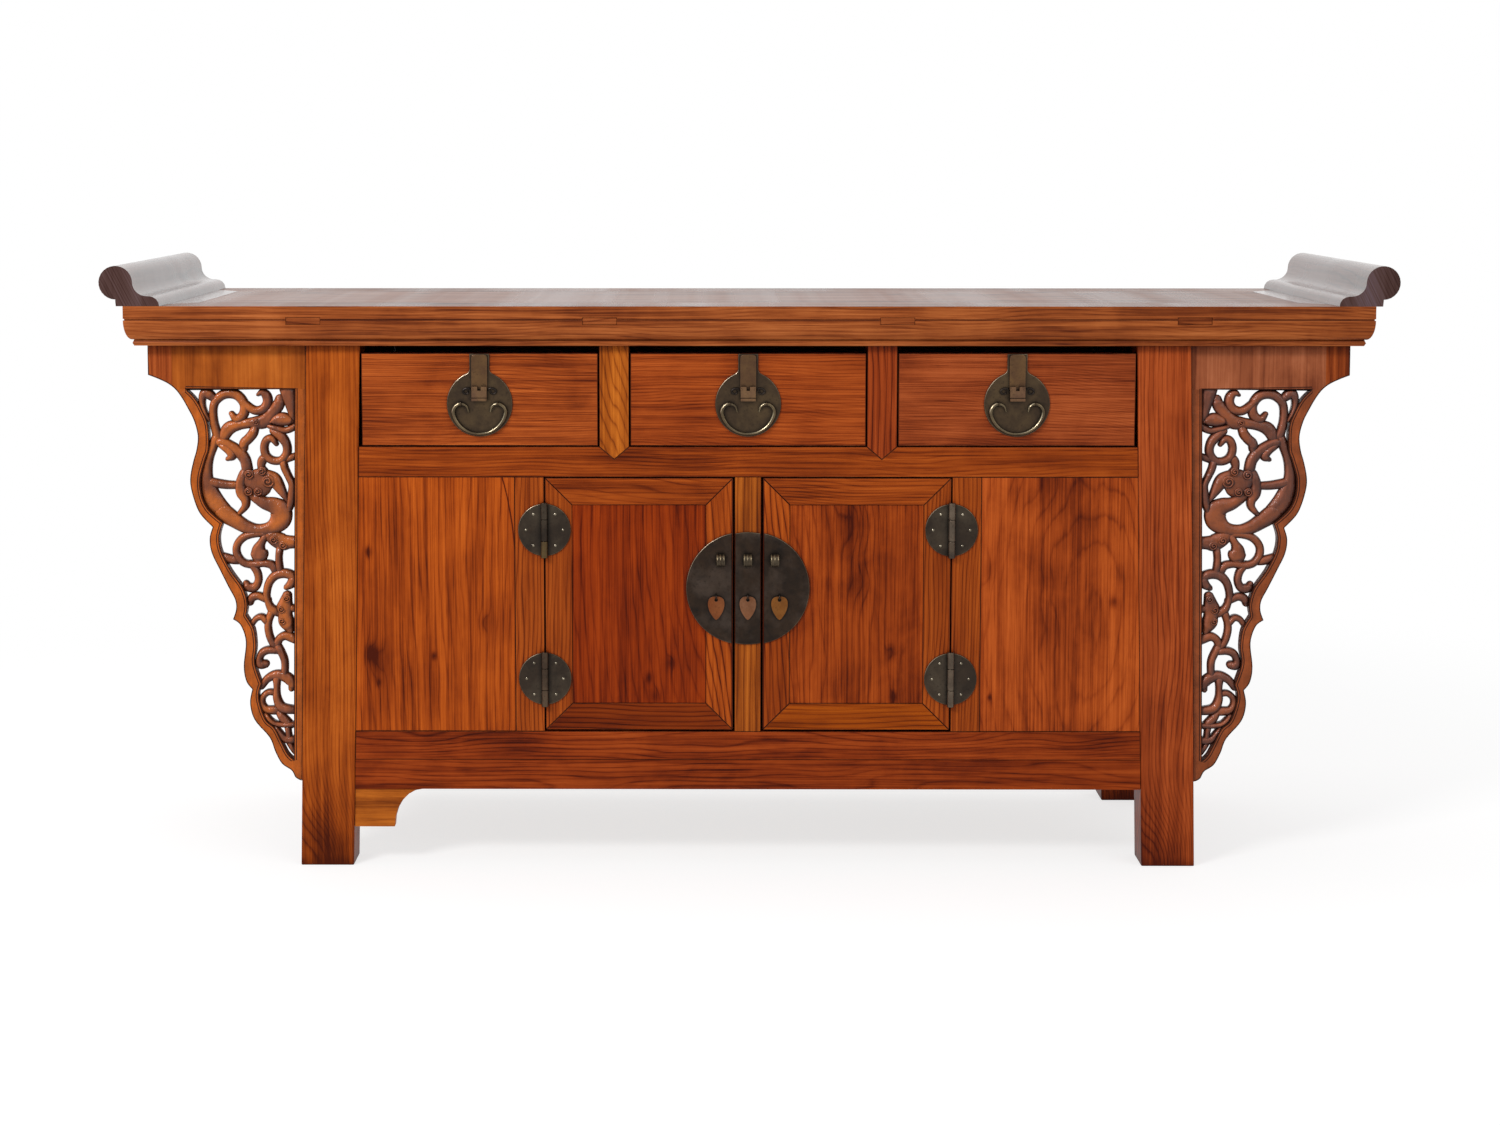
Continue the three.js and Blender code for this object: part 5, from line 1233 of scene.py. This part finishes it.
# Points along the middle of each strand, with its width there
STRANDS = [
    # Arch, great scroll and its branch under the head
    [[210, 418.5, 4], [204.5, 406, 5], [203.8, 396.5, 7], [207.5, 391.5, 10], [214, 396, 8]],
    [[218.6, 437, 9], [214.6, 420, 7.5], [214.8, 404.4, 7.5], [220.5, 395.9, 8.5], [229.3, 391.9, 9.5],
     [239, 394.3, 9], [245.4, 403, 8.5], [244.6, 413, 9], [238, 418, 8], [232.4, 412.5, 5]],
    [[241.4, 396.8, 7], [248.6, 404.4, 7.5], [256.5, 409.3, 8], [264.5, 407.6, 8.5], [268.8, 401.4, 8.8],
     [268, 394.5, 8.5], [264, 391, 7], [259.8, 393, 4]],
    # Long snout with its boss, the hanging leaf, and the eye-shaped leaf over the lips
    [[223, 439, 9], [229, 428, 12], [239, 423.8, 10], [250, 422, 9.5], [257, 421.5, 11.5], [265, 420, 13],
     [272.5, 412.5, 12], [279.5, 403.5, 11], [281, 398, 9]],
    [[288.5, 385, 15], [291, 397, 12.5], [293, 408, 9], [294.5, 417, 7]],
    [[272.5, 420.5, 4], [277, 419, 10], [283.5, 418, 12.5], [290, 419, 10], [294, 420, 5]],
    [[270, 425, 5], [279, 427.5, 6], [288, 429, 6.5], [298, 424, 7]],
    # Ring scroll at the leg, its tail and the ball below it
    [[277, 443, 4.5], [273, 437.5, 7], [267.5, 439, 7.5], [264.8, 446, 7.5], [266.5, 454.5, 7.5],
     [273, 459.6, 7.5], [281.5, 459.3, 7.5], [287.3, 452.5, 8], [287.3, 444, 8], [282.5, 436, 9],
     [274, 430, 7]],
    [[285, 459, 7], [298, 454.5, 6.5]],
    [[266, 455, 7], [262.5, 460, 8.5], [261.5, 466, 7], [264, 471, 8]],
    # Ribbed limb, stem along the rim and the band to the head of the beast
    [[255.5, 427, 8], [253.5, 432.5, 9], [249, 438, 9], [244.8, 442, 9], [244.4, 447.5, 7.5]],
    [[217.8, 434, 9], [214, 444, 8.5], [210, 455, 8], [207.4, 466, 9], [206.8, 478, 11], [209.2, 490, 15],
     [214.6, 502, 17], [223.5, 512, 15]],
    [[217, 441, 8], [223, 441, 8.5], [230.5, 444.5, 9], [239.8, 451.5, 10.5], [245.5, 459.5, 10],
     [247.5, 470, 10]],
    [[220.9, 443.5, 6], [229, 449.3, 7.5], [232.8, 454.8, 8.5], [228.5, 457.8, 5]],
    # Head of the beast with its ear, beard and the bar from the rim
    [[244.5, 477, 9], [251.5, 479.5, 20], [260, 481.5, 27], [270, 479.5, 18], [275.5, 481, 13],
     [281, 489.5, 9], [287.5, 500, 4]],
    [[244, 473, 9], [240.6, 483, 9.5], [241.8, 492, 11], [245.2, 499.5, 8.5], [244.9, 506, 7],
     [239.5, 512.5, 5]],
    [[206, 480.5, 9], [217.5, 483, 8.5], [228, 484.4, 8], [239, 484.6, 7]],
    # Body of the beast
    [[217, 508, 12], [223.5, 513, 16], [234.5, 520.5, 14], [245, 526.8, 12], [257.5, 530, 10.5],
     [270.5, 528, 13], [279.5, 520, 19], [280.5, 510.5, 19], [273.5, 505.3, 15], [264, 502.5, 11.5],
     [253, 495.5, 9]],
    [[283.5, 459, 7], [285, 467, 7], [289, 476, 6.5], [292.5, 484, 7], [292, 493, 7.5], [291, 502, 7.5],
     [289, 509, 6]],
    # Ring below the body, the claw in it and its bar
    [[268, 533.5, 7], [254.4, 534, 7], [243, 537.3, 7.5], [236, 545.5, 7.2], [235.8, 554.8, 7.2],
     [241.6, 562.8, 7.2], [251, 565.3, 7.5], [262, 564, 7], [271, 566, 8], [274.5, 573, 7]],
    [[265.5, 535, 7], [260.5, 543, 7.5], [258, 549, 12], [258.3, 554.5, 16], [258, 561, 12]],
    [[220, 557, 8], [229, 559.8, 8.5], [237, 561, 8]],
    # Knot of curls and the limb under it
    [[266, 533, 10], [274, 538.5, 14], [282, 542.5, 15], [289, 542.5, 12], [299, 542.5, 11]],
    [[279, 548, 7], [277.8, 558.9, 6.5], [278.8, 572, 7]],
    # Hooks and the open scroll
    [[249, 564, 6.5], [255, 571.5, 7], [257, 580.6, 7], [253.5, 588, 8], [247.3, 588.5, 8.5],
     [244.3, 584.5, 6]],
    [[293.6, 584, 7], [291.5, 577, 8.5], [283, 574.1, 9], [274, 576.4, 8.5], [267.6, 584, 7.5],
     [265, 594.7, 6.8], [266.3, 603, 6.3], [270, 610.5, 8], [277, 614.5, 8]],
    [[293, 577, 8], [290.5, 584, 9], [285.5, 588, 6]],
    [[248.5, 604, 6], [250.5, 598.8, 8], [257, 597.2, 7.5], [266, 601.5, 7]],
    # Cloud scroll at the leg
    [[285.5, 597, 9], [284.2, 603, 12], [283.3, 609, 15.5], [283.3, 616, 13], [284.6, 623.5, 14],
     [288, 631, 8.5]],
    [[286, 608, 7], [296, 611, 7]],
    # Stems, arches and curls of the lower half
    [[271, 611, 8], [266.8, 621.8, 6.8], [266, 631, 6.8], [268.5, 641.5, 6.8], [273, 649, 7]],
    [[250, 626, 5], [254.5, 620, 6], [260.5, 618.8, 6.5], [266, 625, 6.5]],
    [[273.5, 649, 8], [277.3, 641, 7.5], [283.5, 637.8, 8.5], [290, 639.8, 9], [296, 643, 8]],
    [[274.5, 647.5, 8], [279.5, 656, 7], [282.3, 665, 6.8], [281.8, 679, 6.8]],
    [[276, 653, 7], [267, 652.3, 7.5], [260.3, 654.8, 7.5], [257, 661, 6.5], [257.8, 666.8, 8.5],
     [262.3, 666.8, 8]],
    [[258.5, 690, 6], [264.5, 682, 7.5], [273.5, 678, 9], [283, 680, 10], [289.3, 686, 9.5],
     [288.8, 691.5, 6.5]],
    [[274, 679, 9], [273.9, 690.4, 6], [274, 702, 7.5], [279, 711.5, 9], [292, 714, 8]],
    [[273.6, 696.5, 6.5], [265.5, 695.8, 6], [259.6, 700.8, 6], [258.8, 708, 6.5], [263.5, 713.6, 7.5],
     [275, 714.2, 9]],
    [[276, 717, 7], [281, 723.5, 8.5], [287.5, 729.4, 7]],
    [[262.5, 719, 5], [270, 726.6, 5], [280, 728.8, 5.5], [293, 728.4, 5.5]],
    [[284, 729.5, 6.5], [285.2, 738, 5.5], [286, 745, 7]],
    [[272.5, 731, 4], [276.5, 737, 5], [280.5, 742.8, 7], [286, 744.3, 8], [293, 744, 6.5]],
    [[284.4, 746, 5.5], [291.6, 757, 6]],
]
# Curls on the carving: the middle of each and its radius
CURLS = [[257.7, 420.6, 3.4], [250, 473.3, 5], [263, 470, 4.4], [249, 490.6, 4.4], [258.7, 490.6, 4.4],
         [269, 480.3, 6.6], [273.9, 539.4, 4.6], [283.1, 544.8, 4.4], [280.4, 609.9, 4.2], [281, 621.8, 4],
         [285.8, 599, 4]]


def leg_outer(z):
    return LEG_FOOT_OUTER - z * LEAN


def drawn(point):
    """Where a pixel of the left spandrel is, as X of the right-hand one and Z."""
    from_top = point[1] - SPANDREL_TOP_PX
    z = SPANDREL_TOP - from_top * DOWN
    return leg_outer(z) + (LEG_EDGE_PX - from_top * LEAN - point[0]) * ACROSS, z


def section(middle, out, half, front):
    """A strand's outline across: well rounded in front, and squarer behind."""
    loop = []
    for k in range(STRAND_SIDES):
        angle = 2 * math.pi * k / STRAND_SIDES
        c, s = math.cos(angle), math.sin(angle)
        power = FRONT_POWER if s < 0 else BACK_POWER
        across = half * math.copysign(abs(c) ** power, c)
        deep = math.copysign(abs(s) ** power, s)
        y = (front + STRAND_BACK) / 2 + deep * (STRAND_BACK - front) / 2
        loop.append(tuple(middle + out * across + Y * y))
    return loop


def strand(points, index):
    """A rounded strand that narrows and dips at its ends. Some pass in front of others."""
    middle = catmull(points, STRAND_STEPS)
    last = len(middle) - 1
    lift = LEAST_LIFT + LIFT_RANGE * ((index * LIFT_STEP) % 1)
    rings, radii = [], []
    for i, (px, py, width) in enumerate(middle):
        x, z = drawn((px, py))
        x0, z0 = drawn(middle[max(i - 1, 0)])
        x1, z1 = drawn(middle[min(i + 1, last)])
        along = Vector((x1 - x0, 0, z1 - z0)).normalized()
        dip = DIP * max(0.0, 1 - min(i, last - i) / DIP_POINTS)
        radii.append(FULLNESS * width * PIXEL / 2)
        rings.append(section(Vector((x, 0, z)), Vector((along.z, 0, -along.x)), radii[-1],
                             SPANDREL_FRONT + lift + dip))
    return rounded_bar(rings, radii, STRAND_END_ANGLES, STRAND_END_DEPTH)


def curl(px, py, radius):
    """A low round boss with a spiral on it."""
    x, z = drawn((px, py))
    r = radius * PIXEL
    front = SPANDREL_FRONT - CURL_PROUD
    path, radii = [], []
    for i in range(CURL_STEPS + 1):
        share = i / CURL_STEPS
        angle = math.radians(CURL_TURN[0] + (CURL_TURN[1] - CURL_TURN[0]) * share)
        away = r * (CURL_AWAY[0] + (CURL_AWAY[1] - CURL_AWAY[0]) * share)
        radii.append(r * (CURL_WIRE[0] + (CURL_WIRE[1] - CURL_WIRE[0]) * share ** 3))
        path.append((x + away * math.cos(angle), front + CURL_SUNK * r, z + away * math.sin(angle)))
    boss = turned([(back, part * r) for back, part in CURL_PROFILE], (x, front, z), BOSS_SIDES)
    return merged([boss, tube(path, radii, WIRE_SIDES)])


def split(mesh, normal, place):
    """Cuts a mesh's faces along a plane, so that the halves can differ in material."""
    bm = bmesh.new()
    bm.from_mesh(mesh)
    geometry = bm.verts[:] + bm.edges[:] + bm.faces[:]
    bmesh.ops.bisect_plane(bm, geom=geometry, dist=CUT_NEAR * MM, plane_no=normal,
                           plane_co=Vector(place) * MM)
    bm.to_mesh(mesh)
    bm.free()


def lobes(table):
    path = []
    for lobe in table:
        path += catmull(lobe, RIM_STEPS)[:-1]
    return [drawn(point) for point in path]


def grown(outline, by):
    """A closed outline moved out by a distance, point by point."""
    area = sum(a[0] * b[1] - b[0] * a[1] for a, b in zip(outline, outline[1:] + outline[:1]))
    away = by if area > 0 else -by
    moved_out = []
    for i, (x, z) in enumerate(outline):
        before, after = Vector(outline[i - 1]), Vector(outline[(i + 1) % len(outline)])
        along = (after - before).normalized()
        moved_out.append((x + along.y * away, z - along.x * away))
    return moved_out


# Painted shade: a thin dark sheet on the board's face, where a groove or the board's edge lies in shade
def groove(outline, far, near):
    lines = [grown(outline, far), grown(outline, near)]
    return plate(lines, SPANDREL_FRONT - GROOVE_PROUD, GROOVE_DEPTH, GROOVE_EDGE)


tip_z = SPANDREL_TOP - SPANDREL_DROP
opening_top = drawn(STRIP_TOP)[1]
outer_rim = lobes(RIM_OUTER)
inner_rim = lobes(RIM_INNER) + [drawn(RIM_INNER[-1][-1]), drawn(STRIP_TOP)]
outer_end = outer_rim[0][0]
board = [(outer_end, SPANDREL_TOP), *outer_rim, (leg_outer(tip_z) + SEAM, tip_z),
         (leg_outer(SPANDREL_TOP) + SEAM, SPANDREL_TOP)]
for word, side in SIDES:
    rim_part = plate([board, inner_rim], SPANDREL_FRONT, SPANDREL_DEPTH, SPANDREL_EDGE)
    groove_shades = [groove(inner_rim, *ends) for ends in OPENING_GROOVES] + [groove(board, *BOARD_GROOVE)]
    carving = [strand(points, index) for index, points in enumerate(STRANDS)]
    carving += [curl(*boss) for boss in CURLS]
    end_board = block(outer_end - END_BOARD, outer_end, SPANDREL_FRONT + SPANDREL_DEPTH, -SPANDREL_FRONT,
                      SPANDREL_TOP - END_BOARD_HEIGHT, SPANDREL_TOP, PLATE_EDGE)
    for name, parts, materials, sharp in (
            ("rim", [rim_part], [f"rim_elm_{word}", f"head_elm_{word}", "end_elm"], RIM_SHARP),
            ("groove", groove_shades, ["groove_elm"], SHARP),
            ("carving", carving, [f"carved_elm_{word}"], ROUND_SHARP),
            ("end", [end_board], ["end_elm"], SHARP)):
        made = piece(f"spandrel_{name}_{word}", [moved(part, mirror=side < 0) for part in parts], "carcass",
                     materials, (f"spandrel_{word}",), sharp)
        if name == "rim":
            rim = made
    split(rim.data, Z, (0, 0, opening_top))
    split(rim.data, X, (side * (outer_end - END_PIECE), 0, 0))
    for polygon in rim.data.polygons:
        centre = polygon.center / MM
        if centre.z > opening_top:
            polygon.material_index = 2 if abs(centre.x) > outer_end - END_PIECE else 1

# Camera of the photograph: a little above the coffer's top and looking down, with the lens shifted
camera_data = bpy.data.cameras.new("camera")
camera_data.lens = LENS
camera_data.sensor_width = SENSOR
camera_data.shift_x, camera_data.shift_y = SHIFT
camera = bpy.data.objects.new("camera", camera_data)
camera.location = CAMERA_PLACE
camera.rotation_euler = (math.radians(90 - CAMERA_DOWN), 0, math.radians(CAMERA_TURN))
bpy.context.scene.collection.objects.link(camera)
bpy.context.scene.camera = camera

# White studio: what the camera and reflections see is white, and the light itself stays plain
world = bpy.data.worlds.new("studio")
t = Tree(world)
level = t.add("ShaderNodeMapRange", {"Value": t.seen_by_eye(), "To Min": WORLD_LIGHT, "To Max": 1.0})
background = t.add("ShaderNodeBackground", {"Color": grey(1), "Strength": level})
t.add("ShaderNodeOutputWorld", {"Surface": background})
bpy.context.scene.world = world

# Floor: pale for the light that it sends on; the eye sees its shadow, faint on white, and white far off
floor_material = bpy.data.materials.new("floor_white")
t = Tree(floor_material)
plain = t.add("ShaderNodeBsdfDiffuse", {"Color": grey(FLOOR_PLAIN)})
paint = t.add("ShaderNodeBsdfDiffuse", {"Color": grey(FLOOR_PAINT)})
glow = t.add("ShaderNodeEmission", {"Color": grey(FLOOR_GLOW)})
near = t.add("ShaderNodeAddShader", {0: paint, 1: glow})
distance = t.add("ShaderNodeVectorMath", {0: t.place()}, operation="LENGTH").outputs["Value"]
fade = t.add("ShaderNodeMapRange", {"Value": distance, "From Min": FLOOR_FADE[0], "From Max": FLOOR_FADE[1]},
             interpolation_type="SMOOTHSTEP")
seen = t.add("ShaderNodeMixShader", {0: fade, 1: near, 2: t.add("ShaderNodeEmission")})
both = t.add("ShaderNodeMixShader", {0: t.seen_by_eye(), 1: plain, 2: seen})
t.add("ShaderNodeOutputMaterial", {"Surface": both})
floor_mesh = bpy.data.meshes.new("floor_mesh")
corners = [(x * FLOOR_REACH, y * FLOOR_REACH, 0) for x, y in ((-1, -1), (1, -1), (1, 1), (-1, 1))]
floor_mesh.from_pydata(corners, [], [(0, 1, 2, 3)])
floor_mesh.materials.append(floor_material)
floor = bpy.data.objects.new("floor", floor_mesh)
bpy.context.scene.collection.objects.link(floor)

for name, place, aim, width, height, power in LAMPS:
    light = bpy.data.lights.new(name, "AREA")
    light.shape = "RECTANGLE"
    light.size = width
    light.size_y = height
    light.energy = power
    lamp = bpy.data.objects.new(name, light)
    lamp.location = place
    lamp.rotation_euler = (Vector(aim) - Vector(place)).to_track_quat("-Z", "Y").to_euler()
    bpy.context.scene.collection.objects.link(lamp)
bpy.context.scene.view_settings.view_transform = "Standard"
